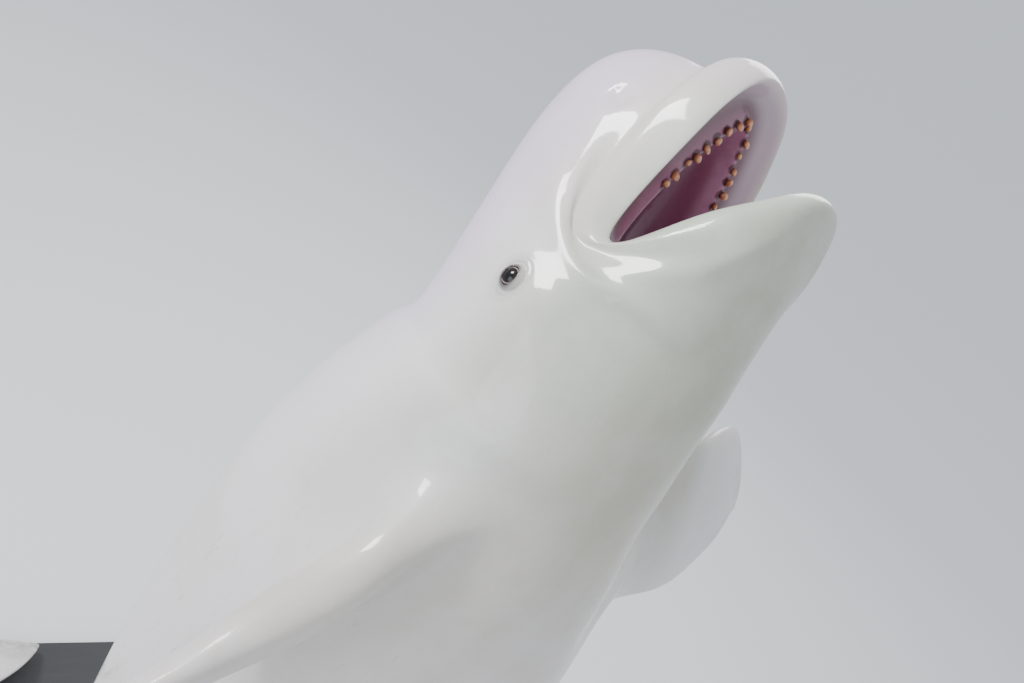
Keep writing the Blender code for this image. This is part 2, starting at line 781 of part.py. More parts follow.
def make_tongue(head, jaw):
    """The tongue, fitted to the floor of the mouth and then lifted clear of it."""
    shape = placed(ball(TONGUE_RADII, 16, 10), jaw_turn() @ Matrix.Translation(TONGUE_MIDDLE))
    tongue = solid("tongue", shape)
    for neighbour in (jaw, head):
        combine(tongue, neighbour, "DIFFERENCE", keep_tool=True)
    up = jaw_turn().to_3x3() @ Vector((0, 0, 1))
    tongue.data.transform(Matrix.Translation(up * GAP * 1.5))
    return tongue


def make_whale():
    """Every piece of the straight whale, as objects by name."""
    smooth = smooth_whale(SMOOTHING)
    trunk = trunk_shape(smooth)
    head = slab(trunk, "head", None, SLABS[0][1])
    jaw = slab(trunk, "lower_jaw", None, SLABS[0][1])
    combine(jaw, jaw_wedge(0), "INTERSECT")
    combine(head, jaw_wedge(GAP), "DIFFERENCE")
    add_teeth(head, False)
    add_teeth(jaw, True)
    pieces = [head, jaw]
    for name, sign in (("eye_left", 1), ("eye_right", -1)):
        pieces.append(add_eye(head, name, sign))
    cut_blowhole(head)
    pieces.append(make_tongue(head, jaw))
    for name, start, end in SLABS:
        pieces.append(slab(trunk, name, start, end))
    for name, tag in LIMBS:
        pieces.append(limb_solid(smooth, tag, name))
    trunk.free()
    return pieces


def pose(piece):
    """Bends one piece of the straight whale into the pose."""
    shape = bmesh.new()
    shape.from_mesh(piece.data)
    bmesh.ops.triangulate(shape, faces=shape.faces)
    places = posed([tuple(vert.co) for vert in shape.verts])
    for vert, place in zip(shape.verts, places):
        vert.co = place
    shape.to_mesh(piece.data)
    shape.free()


def belly_above(pieces, x, y):
    """Height of the whale's underside above a point of the base."""
    heights = []
    for piece in pieces:
        hit, place, *_ = piece.ray_cast((x, y, -1), (0, 0, 1))
        if hit:
            heights.append(place.z)
    return min(heights)


def make_stand(pieces):
    """The base and the rods, which reach into the whale's underside."""
    base = bmesh.new()
    bmesh.ops.create_cube(base, size=1)
    bmesh.ops.scale(base, vec=BASE_SIZE, verts=base.verts)
    bmesh.ops.translate(base, vec=(0, 0, BASE_SIZE[2] / 2), verts=base.verts)
    upright = [e for e in base.edges if abs(e.verts[0].co.z - e.verts[1].co.z) > 0.001]
    bmesh.ops.bevel(base, geom=upright, offset=BASE_CORNER, segments=6, profile=0.5, affect="EDGES")
    stand = [solid("stand_base", base)]
    for name, (x, y), radius in RODS:
        top = belly_above(pieces, x, y) + ROD_DEPTH
        foot = BASE_SIZE[2] + GAP
        profile = (
            (radius * 2.4, foot),
            (radius * 2.4, foot + FLANGE * 0.6),
            (radius * 1.5, foot + FLANGE),
            (radius, foot + FLANGE * 1.6),
            (radius, top - 0.004),
            (radius - 0.004, top),
        )
        pocket = ((radius + GAP, foot + FLANGE * 2), (radius + GAP, top + GAP))
        place = Matrix.Translation((x, y, 0))
        hole = solid("pocket", placed(rounded_bar(pocket, 24), place))
        for piece in pieces:
            if overlaps(piece, hole):
                combine(piece, hole, "DIFFERENCE", keep_tool=True)
        bpy.data.objects.remove(hole)
        stand.append(solid(name, placed(rounded_bar(profile, 24), place)))
    return stand


def overlaps(first, second):
    """Whether the boxes of two objects meet."""
    boxes = []
    for thing in (first, second):
        points = np.array([tuple(vert.co) for vert in thing.data.vertices])
        boxes.append((points.min(axis=0), points.max(axis=0)))
    (low, high), (other_low, other_high) = boxes
    return bool(np.all(low < other_high) and np.all(other_low < high))


def add_finish(piece):
    """Gives one piece its own material."""
    colour, roughness, metallic = FINISHES[FINISH_OF.get(piece.name, "skin")]
    material = bpy.data.materials.new(piece.name)
    material.use_nodes = True
    shader = material.node_tree.nodes["Principled BSDF"]
    shader.inputs["Base Color"].default_value = (*colour, 1)
    shader.inputs["Roughness"].default_value = roughness
    shader.inputs["Metallic"].default_value = metallic
    material.diffuse_color = (*colour, 1)
    piece.data.materials.clear()
    piece.data.materials.append(material)
    piece.data.polygons.foreach_set("material_index", [0] * len(piece.data.polygons))
    piece.data.shade_smooth()
    piece.data.set_sharp_from_angle(angle=math.radians(50))


def main():
    for thing in list(bpy.data.objects):
        bpy.data.objects.remove(thing)
    whale = make_whale()
    for piece in whale:
        pose(piece)
    for piece in whale + make_stand(whale):
        add_finish(piece)


if __name__ == "__main__":
    main()
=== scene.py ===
"""A beluga whale rising upright with its mouth open, as a life-size museum model.

Metres, +Z up. The belly faces -Y and the animal's right side faces -X. The whale is first shaped
straight, about the corners of its mouth: +X to the snout, +Y to its left, +Z to its back. Then it
is bent into its pose.
"""

import logging
import math
from dataclasses import dataclass, field
from enum import Enum
from typing import Iterable, Sequence

import bmesh
import bpy
import numpy as np
from mathutils import Matrix, Vector
from mathutils.bvhtree import BVHTree


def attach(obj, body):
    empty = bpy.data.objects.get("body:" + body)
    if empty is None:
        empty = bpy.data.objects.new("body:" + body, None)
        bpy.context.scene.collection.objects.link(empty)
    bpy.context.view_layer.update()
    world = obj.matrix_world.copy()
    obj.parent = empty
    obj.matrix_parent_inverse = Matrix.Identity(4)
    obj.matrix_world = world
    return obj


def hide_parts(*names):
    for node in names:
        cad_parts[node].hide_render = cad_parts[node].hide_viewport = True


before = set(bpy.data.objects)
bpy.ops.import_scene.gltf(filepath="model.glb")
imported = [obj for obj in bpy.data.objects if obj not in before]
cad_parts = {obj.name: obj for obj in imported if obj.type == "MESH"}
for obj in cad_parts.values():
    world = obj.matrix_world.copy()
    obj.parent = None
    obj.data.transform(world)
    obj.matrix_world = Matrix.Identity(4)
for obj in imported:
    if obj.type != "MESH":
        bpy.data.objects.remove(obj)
log = logging.getLogger("whale")

Point = tuple[float, float, float]
Colour = tuple[float, float, float]

FLESH = (
    "head",
    "lower_jaw",
    "neck",
    "shoulders",
    "chest",
    "belly",
    "loin",
    "tail_stock",
    "tail_end",
    "flipper_left",
    "flipper_right",
    "fluke_left",
    "fluke_right",
)


class Side(Enum):
    """A side of the animal, as the sign of its Y."""

    LEFT = 1
    RIGHT = -1


def smoothstep(value: np.ndarray, low: float, high: float) -> np.ndarray:
    """Rises smoothly from 0 to 1 as a value goes from low to high."""
    share = np.clip((value - low) / (high - low), 0, 1)
    return share * share * (3 - 2 * share)


def bell(value: np.ndarray, middle: float, width: float) -> np.ndarray:
    """A smooth hump of height 1 about a middle."""
    return np.exp(-(((value - middle) / width) ** 2))


def unit(vector: Sequence[float]) -> np.ndarray:
    """A vector's direction."""
    array = np.asarray(vector, float)
    return array / np.linalg.norm(array)


@dataclass(frozen=True)
class HeadRing:
    """One ring of the head, with the jaw shut.

    crown and chin are (x, z) on the middle line, cheek is (x, y, z) at the side. upper and lower
    say how sharply each half closes in plan and in height. drop is how far the lower half hangs
    below the cheek, and share is its part of the jaw's swing.
    """

    crown: tuple[float, float]
    cheek: Point
    chin: tuple[float, float]
    upper: tuple[float, float] = (1.0, 1.0)
    lower: tuple[float, float] = (1.0, 1.0)
    drop: float = 0.0
    share: float = 0.0


@dataclass(frozen=True)
class Bend:
    """A bend of the body over a stretch behind the snout tip: pitch, yaw and twist in degrees."""

    start: float
    end: float
    pitch: float
    yaw: float
    twist: float


@dataclass(frozen=True)
class Limb:
    """One section of a flipper or fluke."""

    out: float
    chord: float
    lead: float
    half_thickness: float


# How far the snout tip lies before the corners of the mouth
GAPE = 0.28

# The distance given to points that have nothing to do with a feature
FAR = 99.0

# How sharply the halves of the head's rings close
FULL = (1.0, 1.0)
LIP = (0.90, 3.00)
GUM = (1.20, 3.00)

# Rings of the head, from the nape over the lips into the throat
HEAD = {
    "nape": HeadRing((-0.200, 0.199), (-0.200, 0.185, -0.005), (-0.200, -0.206)),
    "blowhole": HeadRing(
        (-0.101, 0.211), (-0.115, 0.182, -0.003), (-0.113, -0.207), FULL, FULL, 0, 0.14
    ),
    "brow": HeadRing(
        (0.006, 0.232), (-0.069, 0.168, -0.003), (-0.010, -0.204), (1, 0.95), FULL, 0, 0.45
    ),
    "melon": HeadRing(
        (0.110, 0.242), (-0.043, 0.161, 0.000), (0.074, -0.168), (1, 0.9), (1, 0.9), 0.06, 0.8
    ),
    "melon_front": HeadRing(
        (0.206, 0.217), (-0.034, 0.154, 0.006), (0.144, -0.103), (0.95, 0.80), FULL, 0.120, 0.95
    ),
    "melon_foot": HeadRing(
        (0.250, 0.140), (-0.028, 0.149, 0.014), (0.189, -0.053), (0.88, 0.60), (0.95, 1.00), 0.150, 1
    ),
    "groove": HeadRing(
        (0.256, 0.074), (-0.022, 0.143, 0.023), (0.216, -0.025), (0.85, 0.45), LIP, 0.1, 1
    ),
    "lip_top": HeadRing(
        (0.279, 0.060), (-0.015, 0.144, 0.009), (0.233, -0.009), (0.82, 0.4), LIP, 0.055, 1
    ),
    "lip": HeadRing(
        (0.292, 0.029), (-0.007, 0.139, -0.005), (0.242, 0.009), (0.80, 0.40), LIP, 0.018, 1
    ),
    "lip_edge": HeadRing(
        (0.282, 0.001), (-0.003, 0.134, -0.012), (0.232, 0.023), (0.80, 1.00), LIP, 0, 1
    ),
    "lip_inside": HeadRing(
        (0.266, 0.010), (-0.002, 0.127, -0.010), (0.219, 0.017), (0.8, 0.5), LIP, 0.008, 1
    ),
    "vestibule": HeadRing(
        (0.246, 0.026), (-0.004, 0.114, -0.007), (0.205, -0.005), (1, 0.4), (1, 3), 0.045, 1
    ),
    "gum": HeadRing(
        (0.229, 0.012), (-0.008, 0.093, -0.008), (0.187, 0.005), (1.30, 0.40), GUM, 0.024, 1
    ),
    "gum_inside": HeadRing(
        (0.206, 0.026), (-0.014, 0.079, -0.008), (0.169, -0.011), (1.3, 0.4), GUM, 0.04, 1
    ),
    "palate": HeadRing(
        (0.134, 0.048), (-0.026, 0.066, -0.006), (0.112, -0.036), (1.1, 0.6), (1.05, 1), 0.04, 1
    ),
    "fauces": HeadRing(
        (0.020, 0.042), (-0.050, 0.056, -0.006), (0.030, -0.038), (1, 0.8), (1, 0.8), 0, 0.9
    ),
    "throat": HeadRing((-0.075, 0.020), (-0.090, 0.032, -0.010), (-0.085, -0.040), FULL, FULL, 0, 0.1),
}

# Rings of the body: distance behind the snout tip, height of the back and depth of the belly from
# the body's axis, and half width
BODY = (
    (3.610, 0.020, 0.020, 0.046),
    (3.560, 0.026, 0.025, 0.052),
    (3.490, 0.038, 0.036, 0.056),
    (3.410, 0.054, 0.050, 0.058),
    (3.320, 0.076, 0.068, 0.061),
    (3.180, 0.106, 0.092, 0.070),
    (2.980, 0.142, 0.122, 0.096),
    (2.750, 0.184, 0.158, 0.133),
    (2.500, 0.224, 0.198, 0.176),
    (2.250, 0.256, 0.236, 0.217),
    (2.000, 0.280, 0.271, 0.252),
    (1.750, 0.290, 0.297, 0.280),
    (1.500, 0.292, 0.311, 0.295),
    (1.250, 0.290, 0.314, 0.300),
    (0.980, 0.284, 0.301, 0.291),
    (0.755, 0.272, 0.271, 0.266),
    (0.685, 0.263, 0.255, 0.248),
    (0.620, 0.250, 0.239, 0.230),
    (0.560, 0.231, 0.222, 0.211),
    (0.510, 0.212, 0.210, 0.195),
)


@dataclass
class Cage:
    """Points and faces of the coarse cage, with a number for each point that says which ring."""

    points: list[Point] = field(default_factory=list)
    depths: list[float] = field(default_factory=list)
    faces: list[tuple[int, ...]] = field(default_factory=list)

    def add_ring(self, points: Iterable[Sequence[float]], depth: float) -> list[int]:
        """Adds a ring of points.

        Args:
            points: The ring's points in order.
            depth: How far into the mouth the ring lies, in rings from the nape.

        Returns:
            The numbers of the new points.
        """
        start = len(self.points)
        for point in points:
            self.points.append(tuple(float(v) for v in point))
            self.depths.append(depth)
        return list(range(start, len(self.points)))

    def bridge(self, first: list[int], second: list[int], skipped: Iterable[int] = ()) -> None:
        """Joins two rings by faces that point out where the second ring is nearer the snout."""
        count = len(first)
        for k in range(count):
            if k not in skipped:
                n = (k + 1) % count
                self.faces.append((first[n], first[k], second[k], second[n]))

    def cap(self, top: list[int], bottom: list[int], flip: bool) -> None:
        """Closes a ring by faces between its two sides, which may share their end points."""
        for i in range(len(top) - 1):
            loop = [top[i], top[i + 1], bottom[i + 1], bottom[i]]
            loop = [v for j, v in enumerate(loop) if v != loop[j - 1]]
            self.faces.append(tuple(loop) if flip else tuple(reversed(loop)))

    def drop_loose(self) -> None:
        """Leaves out the points that no face uses."""
        used = sorted({v for face in self.faces for v in face})
        place = {v: i for i, v in enumerate(used)}
        self.points = [self.points[v] for v in used]
        self.depths = [self.depths[v] for v in used]
        self.faces = [tuple(place[v] for v in face) for face in self.faces]

    def fitted(self, rounds: int = 6) -> np.ndarray:
        """Cage points moved out until the smooth surface passes through the given points.

        Args:
            rounds: How often the points are corrected.

        Returns:
            The corrected points.
        """
        targets = np.array(self.points, float)
        around: list[set[int]] = [set() for _ in targets]
        across: list[list[int]] = [[] for _ in targets]
        for face in self.faces:
            for j, v in enumerate(face):
                around[v] |= {face[j - 1], face[(j + 1) % len(face)]}
                across[v].append(face[(j + 2) % len(face)])
        cage = targets.copy()
        for _ in range(rounds):
            limit = np.empty_like(cage)
            for v, (ring, far) in enumerate(zip(around, across)):
                n = len(ring)
                total = cage[list(ring)].sum(axis=0) * 4 + cage[far].sum(axis=0)
                limit[v] = (cage[v] * n * n + total) / (n * n + 4 * n + len(far))
            cage += (targets - limit) * 0.8
        return cage


@dataclass
class WhaleForm:
    """The straight whale's sizes, and the cage that they give.

    A limb's section holds where it is, its chord and thickness. A flipper's out is a share of its
    span, and its lead moves it forwards. A fluke's chord and lead are its edges' distances behind
    the snout tip. The shares run along a chord, with the fullness at each. A pose holds a flipper's
    sweep, droop and turn in degrees.
    """

    jaw_open: float = math.radians(40)
    ring: int = 16
    flipper_span: float = 0.40
    flipper_sections: tuple[Limb, ...] = (
        Limb(0.14, 0.160, 0.004, 0.034),
        Limb(0.32, 0.180, 0.008, 0.026),
        Limb(0.55, 0.215, 0.014, 0.018),
        Limb(0.78, 0.205, 0.004, 0.013),
        Limb(0.93, 0.140, -0.024, 0.009),
        Limb(1.00, 0.060, -0.070, 0.006),
    )
    flipper_shares: tuple[float, ...] = (0.03, 0.30, 0.66, 0.97)
    flipper_fullness: tuple[float, ...] = (0.62, 1.00, 0.72, 0.16)
    flipper_curl: float = 0.045
    flipper_pose: dict[Side, tuple[float, float, float]] = field(
        default_factory=lambda: {Side.LEFT: (-12, -25, -30), Side.RIGHT: (35, 20, -14)}
    )
    flipper_rings: tuple[int, ...] = (18, 17, 16, 15)
    fluke_sections: tuple[Limb, ...] = (
        Limb(0.100, 3.345, 3.625, 0.026),
        Limb(0.180, 3.395, 3.668, 0.021),
        Limb(0.280, 3.462, 3.695, 0.016),
        Limb(0.370, 3.535, 3.690, 0.012),
        Limb(0.440, 3.605, 3.672, 0.008),
        Limb(0.468, 3.640, 3.662, 0.005),
    )
    fluke_shares: tuple[float, ...] = (0.05, 0.30, 0.64, 0.96)
    fluke_fullness: tuple[float, ...] = (0.60, 1.00, 0.70, 0.20)
    fluke_rings: tuple[int, ...] = (4, 3, 2, 1)

    @property
    def half(self) -> int:
        """The number of a ring's chin point."""
        return self.ring // 2

    @property
    def cheek(self) -> int:
        """The number of a ring's left cheek point."""
        return self.ring // 4

    def head_point(self, name: str, turn: float, lower: bool) -> Point:
        """A point of the left half of a head ring.

        Args:
            name: The ring's name.
            turn: The turn from the crown, 0, down to the chin, pi.
            lower: Whether it belongs to the lower jaw.

        Returns:
            The point, with the jaw open.
        """
        row = HEAD[name]
        plan, rise = row.lower if lower else row.upper
        end = (row.chin[0], row.chin[1] + row.drop) if lower else row.crown
        along = max(0.0, abs(math.cos(turn)))
        out = max(0.0, math.sin(turn))
        x = row.cheek[0] + (end[0] - row.cheek[0]) * along**plan
        y = row.cheek[1] * out**plan
        z = row.cheek[2] + (end[1] - row.cheek[2]) * along**rise
        if lower:
            z -= row.drop * (1 - (1 - along) ** 3)
            swing = self.jaw_open * row.share
            x, z = (
                x * math.cos(swing) + z * math.sin(swing),
                z * math.cos(swing) - x * math.sin(swing),
            )
        return x, y, z

    def mirrored(self, half: list[Point]) -> list[Point]:
        """The whole ring of a left half."""
        return half + [(x, -y, z) for x, y, z in reversed(half[1:-1])]

    def head_ring(self, name: str) -> list[Point]:
        """The points of one ring of the head, from the crown down the left side and back."""
        half = []
        for k in range(self.half + 1):
            x, y, z = self.head_point(name, math.pi * k / self.half, k > self.cheek)
            half.append((x, 0.0 if k in (0, self.half) else y, z))
        return self.mirrored(half)

    def body_ring(self, behind: float, back: float, belly: float, width: float) -> list[Point]:
        """The points of one ring of the body, square to its axis."""
        half = []
        for k in range(self.half + 1):
            turn = math.pi * k / self.half
            height = back if k <= self.cheek else belly
            y = width * math.sin(turn) if 0 < k < self.half else 0.0
            z = height * math.cos(turn) if k != self.cheek else 0.0
            half.append((GAPE - behind, y, z))
        return self.mirrored(half)

    def flipper_axis(self, side: Side) -> tuple[np.ndarray, np.ndarray]:
        """Which way a flipper points, and the middle of its root."""
        sweep, droop, _ = (math.radians(v) for v in self.flipper_pose[side])
        level = np.array([-math.sin(sweep), side.value * math.cos(sweep), 0.0])
        out = unit(level * math.cos(droop) - np.array([0, 0, math.sin(droop)]))
        columns = (self.cheek + 1, self.cheek + 2)
        corners = [self.body_ring(*BODY[i])[k] for i in self.flipper_rings for k in columns]
        return out, np.mean(corners, axis=0) * (1, side.value, 1)

    def flipper(self, side: Side) -> list[list[np.ndarray]]:
        """Sections of one flipper, from its root on the body out to its tip."""
        turn = math.radians(self.flipper_pose[side][2])
        out, root = self.flipper_axis(side)
        ahead = np.array([1.0, 0, 0])
        lead = unit(ahead - out * out[0])
        thick = unit(np.cross(lead, out)) * side.value
        spin = np.array(Matrix.Rotation(turn, 3, Vector(out)))
        lead, thick = spin @ lead, spin @ thick
        rings = []
        for row in self.flipper_sections:
            settle = min(1.0, row.out / 0.30)
            front = unit(ahead * (1 - settle) + lead * settle)
            middle = root + out * self.flipper_span * row.out + thick * self.flipper_curl * row.out**3
            edge = middle + front * (row.chord / 2 + row.lead)
            top, bottom = [], []
            for share, fullness in zip(self.flipper_shares, self.flipper_fullness):
                place = edge - front * row.chord * share
                top.append(place + thick * row.half_thickness * fullness)
                bottom.append(place - thick * row.half_thickness * fullness)
            rings.append(top + bottom[::-1])
        return rings

    def fluke(self, side: Side) -> list[list[Point]]:
        """Sections of one fluke, each from the front edge over the top to the rear edge and back."""
        rings = []
        for row in self.fluke_sections:
            y = side.value * row.out
            top, bottom = [], []
            for share, fullness in zip(self.fluke_shares, self.fluke_fullness):
                x = GAPE - row.chord - (row.lead - row.chord) * share
                top.append((x, y, row.half_thickness * fullness))
                bottom.append((x, y, -row.half_thickness * fullness))
            nose = (GAPE - row.chord, y, 0.0)
            tail = (GAPE - row.lead, y, 0.0)
            rings.append([nose] + top + [tail] + bottom[::-1])
        return rings

    def add_limb(self, cage: Cage, root: list[int], sections: list, side: Side, edged: bool) -> None:
        """Joins a flipper's or a fluke's sections to its root and closes its tip."""
        rings = [root] + [cage.add_ring(section, 0.0) for section in sections]
        for first, second in zip(rings, rings[1:]):
            if side is Side.LEFT:
                cage.bridge(first, second)
            else:
                cage.bridge(second, first)
        tip = rings[-1]
        half = len(tip) // 2
        if edged:
            top, bottom = tip[: half + 1], [tip[0]] + tip[: half - 1 : -1]
        else:
            top, bottom = tip[:half], tip[: half - 1 : -1]
        cage.cap(top, bottom, side is Side.RIGHT)

    def cage(self) -> Cage:
        """The cage of the whole animal: one closed skin from the flukes' notch into the throat."""
        cage = Cage()
        rings = [cage.add_ring(self.body_ring(*row), 0.0) for row in BODY]
        rings += [cage.add_ring(self.head_ring(name), float(i)) for i, name in enumerate(HEAD)]
        left, right = self.cheek + 1, self.ring - self.cheek - 2
        sides = {self.cheek - 1, self.cheek, self.ring - self.cheek - 1, self.ring - self.cheek}
        for i, (first, second) in enumerate(zip(rings, rings[1:])):
            skipped = {left, right} if i in self.flipper_rings[1:] else set()
            if i in self.fluke_rings[1:]:
                skipped |= sides
            cage.bridge(first, second, skipped)
        for end, flip in ((rings[0], True), (rings[-1], False)):
            cage.cap(end[: self.half + 1], [end[0]] + end[: self.half - 1 : -1], flip)
        for side, upper in ((Side.LEFT, left), (Side.RIGHT, right + 1)):
            lower = upper + side.value
            root = [rings[i][upper] for i in self.flipper_rings]
            root += [rings[i][lower] for i in self.flipper_rings[::-1]]
            self.add_limb(cage, root, self.flipper(side), side, False)
        for side, middle in ((Side.LEFT, self.cheek), (Side.RIGHT, self.ring - self.cheek)):
            upper, lower = middle - side.value, middle + side.value
            root = [rings[self.fluke_rings[0]][middle]]
            root += [rings[i][upper] for i in self.fluke_rings]
            root += [rings[self.fluke_rings[-1]][middle]]
            root += [rings[i][lower] for i in self.fluke_rings[::-1]]
            self.add_limb(cage, root, self.fluke(side), side, True)
        cage.drop_loose()
        return cage

    def gum_points(self, lower: bool, pitch: float, count: int) -> list[Vector]:
        """Places along the left half of one gum, evenly spaced from the front.

        Args:
            lower: Whether it is the lower gum.
            pitch: The distance from one place to the next.
            count: How many places.

        Returns:
            The places, in the straight animal.
        """
        turns = [math.pi / 2 * (k / 100) for k in range(101)]
        path = [Vector(self.head_point("gum", math.pi - t if lower else t, lower)) for t in turns]
        places: list[Vector] = []
        walked = 0.0
        for here, there in zip(path, path[1:]):
            walked += (there - here).length
            if len(places) < count and walked >= pitch * (len(places) + 0.5):
                places.append(there)
        return places


@dataclass
class Pose:
    """The bend of the straight whale into its pose.

    Stations are distances behind the snout tip. The body stands upright at the station upright, with
    its axis at upright_place. Ahead of trunk_end, points more than flippers_start from the middle
    line begin to follow the body at the station shoulder, and past flippers_end they follow it alone.
    """

    length: float = 3.70
    step: float = 0.01
    bends: tuple[Bend, ...] = (Bend(0.36, 0.80, 17, -25, -17), Bend(1.60, 3.15, 56, 24, 0))
    upright: float = 1.20
    upright_place: Point = (0.10, -0.35, 2.16)
    shoulder: float = 0.80
    trunk_end: float = 1.60
    flippers_start: float = 0.24
    flippers_end: float = 0.36

    def frames(self) -> tuple[np.ndarray, np.ndarray, np.ndarray]:
        """Distances behind the snout tip, with the place and the axes of the body at each."""
        behind = np.arange(-0.10, self.length + 0.20, self.step)
        axes = Matrix.Identity(3)
        place = Vector((0, 0, 0))
        places, turns = [], []
        for a in behind:
            places.append(np.array(place))
            turns.append(np.array(axes))
            place = place - axes @ Vector((self.step, 0, 0))
            for bend in self.bends:
                now, then = smoothstep(np.array([a, a + self.step]), bend.start, bend.end)
                for angle, axis in ((bend.pitch, "Y"), (bend.yaw, "Z"), (bend.twist, "X")):
                    axes = axes @ Matrix.Rotation(math.radians(angle) * (then - now), 3, axis)
        places, turns = np.array(places), np.array(turns)
        still = int(round((self.upright - behind[0]) / self.step))
        stood = np.array(((0, 1, 0), (0, 0, 1), (1, 0, 0))) @ turns[still].T
        return behind, (places - places[still]) @ stood.T + self.upright_place, stood @ turns

    def apply(self, points: np.ndarray) -> np.ndarray:
        """Bends points of the straight whale. The flippers follow the shoulder.

        Args:
            points: The straight points, one to a row.

        Returns:
            The posed points.
        """
        behind, places, turns = self.frames()
        points = np.asarray(points, float)
        station = GAPE - points[:, 0]
        out = smoothstep(np.abs(points[:, 1]), self.flippers_start, self.flippers_end)
        out = out * (station < self.trunk_end)
        station = station * (1 - out) + self.shoulder * out
        index = np.clip((station - behind[0]) / self.step, 0, len(behind) - 1.001)
        low = index.astype(int)
        share = (index - low)[:, None]
        place = places[low] * (1 - share) + places[low + 1] * share
        turn = turns[low] * (1 - share[..., None]) + turns[low + 1] * share[..., None]
        local = np.column_stack([points[:, 0] - (GAPE - station), points[:, 1], points[:, 2]])
        return place + np.einsum("nij,nj->ni", turn, local)


@dataclass
class EyeForm:
    """An eye's place, its ball and the opening between its lids.

    The margins and the reach are in widths of the opening. Each margin holds where its points are
    gathered from and where they go. clearance is the lids' height above the ball, and fornix is
    where the skin ends behind them. Over the ranges swelling, blend and tuck the lid's margin
    swells, the lid goes over into the cheek, and the margin turns in. The eye's features end at the
    height back behind the ball's middle.
    """

    skin: Point = (-0.103, 0.178, 0.027)
    look: Point = (0.12, 1.0, 0.08)
    slant: float = math.radians(10)
    radius: float = 0.019
    depth: float = 0.013
    half_length: float = 0.0125
    half_height: float = 0.0088
    reach: float = 4.5
    inner_margin: tuple[float, float] = (0.84, 0.97)
    outer_margin: tuple[float, float] = (1.12, 1.03)
    clearance: float = 0.0018
    margin_swell: float = 0.0012
    fornix: float = 0.002
    swelling: tuple[float, float] = (1.0, 1.25)
    blend: tuple[float, float] = (1.05, 2.9)
    tuck: tuple[float, float] = (0.80, 1.0)
    back: float = -0.03

    def place(self, side: Side) -> Matrix:
        """The ball's place: +Z looks out of the head and +X runs along the opening."""
        out = Vector((self.look[0], side.value * self.look[1], self.look[2])).normalized()
        along = Vector((1, 0, 0)) - out * out.x
        along = (Matrix.Rotation(-side.value * self.slant, 3, out) @ along).normalized()
        axes = Matrix((along, out.cross(along), out)).transposed().to_4x4()
        skin = Vector((self.skin[0], side.value * self.skin[1], self.skin[2]))
        return Matrix.Translation(skin - out * self.depth) @ axes

    def spread(self, points: np.ndarray, side: Side) -> np.ndarray:
        """How many times wider than the opening each point lies."""
        local = self.local(points, side)
        wide = np.hypot(local[:, 0] / self.half_length, local[:, 1] / self.half_height)
        return np.where(local[:, 2] > self.back, wide, FAR)

    def local(self, points: np.ndarray, side: Side) -> np.ndarray:
        """Points in the eyeball's own axes."""
        inverse = np.array(self.place(side).inverted())
        return points @ inverse[:3, :3].T + inverse[:3, 3]

    def raise_lids(self, points: np.ndarray, side: Side) -> np.ndarray:
        """Points with the lids drawn over the ball, and their margins turned in.

        Args:
            points: Points of the skin, straight.
            side: Which eye.

        Returns:
            The moved points.
        """
        place = np.array(self.place(side))
        local = self.local(points, side)
        wide = self.spread(points, side)
        near = wide < self.reach
        spot = local[near]
        rho = wide[near]
        turn = np.arctan2(spot[:, 1] / self.half_height, spot[:, 0] / self.half_length)
        low, inner = self.inner_margin
        high, outer = self.outer_margin
        snapped = np.where((rho > low) & (rho < 1.0), inner, rho)
        snapped = np.where((rho >= 1.0) & (rho < high), outer, snapped)
        spot[:, :2] *= (snapped / np.maximum(rho, 1e-6))[:, None]
        reach = np.minimum(np.hypot(spot[:, 0], spot[:, 1]), self.radius * 0.9)
        ball = np.sqrt(self.radius**2 - reach**2)
        skin = spot[:, 2]
        lid = ball + self.clearance + self.margin_swell * smoothstep(snapped, *self.swelling)
        height = lid + (skin - lid) * smoothstep(snapped, *self.blend)
        height -= self.creases(snapped, turn)
        inside = smoothstep(snapped, *self.tuck)
        spot[:, 2] = self.fornix + (height - self.fornix) * inside
        moved = points.copy()
        moved[near] = spot @ place[:3, :3].T + place[:3, 3]
        return moved

    def creases(self, wide: np.ndarray, turn: np.ndarray) -> np.ndarray:
        """How deep the creases around the lids are: the upper lid's, one behind it, one below."""
        upper = 0.5 + 0.5 * np.sin(turn)
        behind = 0.5 - 0.5 * np.cos(turn)
        lid = (0.0003 + 0.0013 * upper) * bell(wide, 1.62 + 0.25 * behind, 0.14)
        rear = 0.0010 * upper * behind * bell(wide, 2.50 - 0.40 * behind, 0.20)
        below = 0.0008 * (1 - upper) * bell(wide, 2.10 + 0.50 * behind, 0.22)
        return lid + rear + below


@dataclass(frozen=True)
class Swell:
    """A swelling along the blowhole's slit: height, distance from the slit, width, and fade at its ends."""

    height: float
    off: float
    width: float
    fade: float


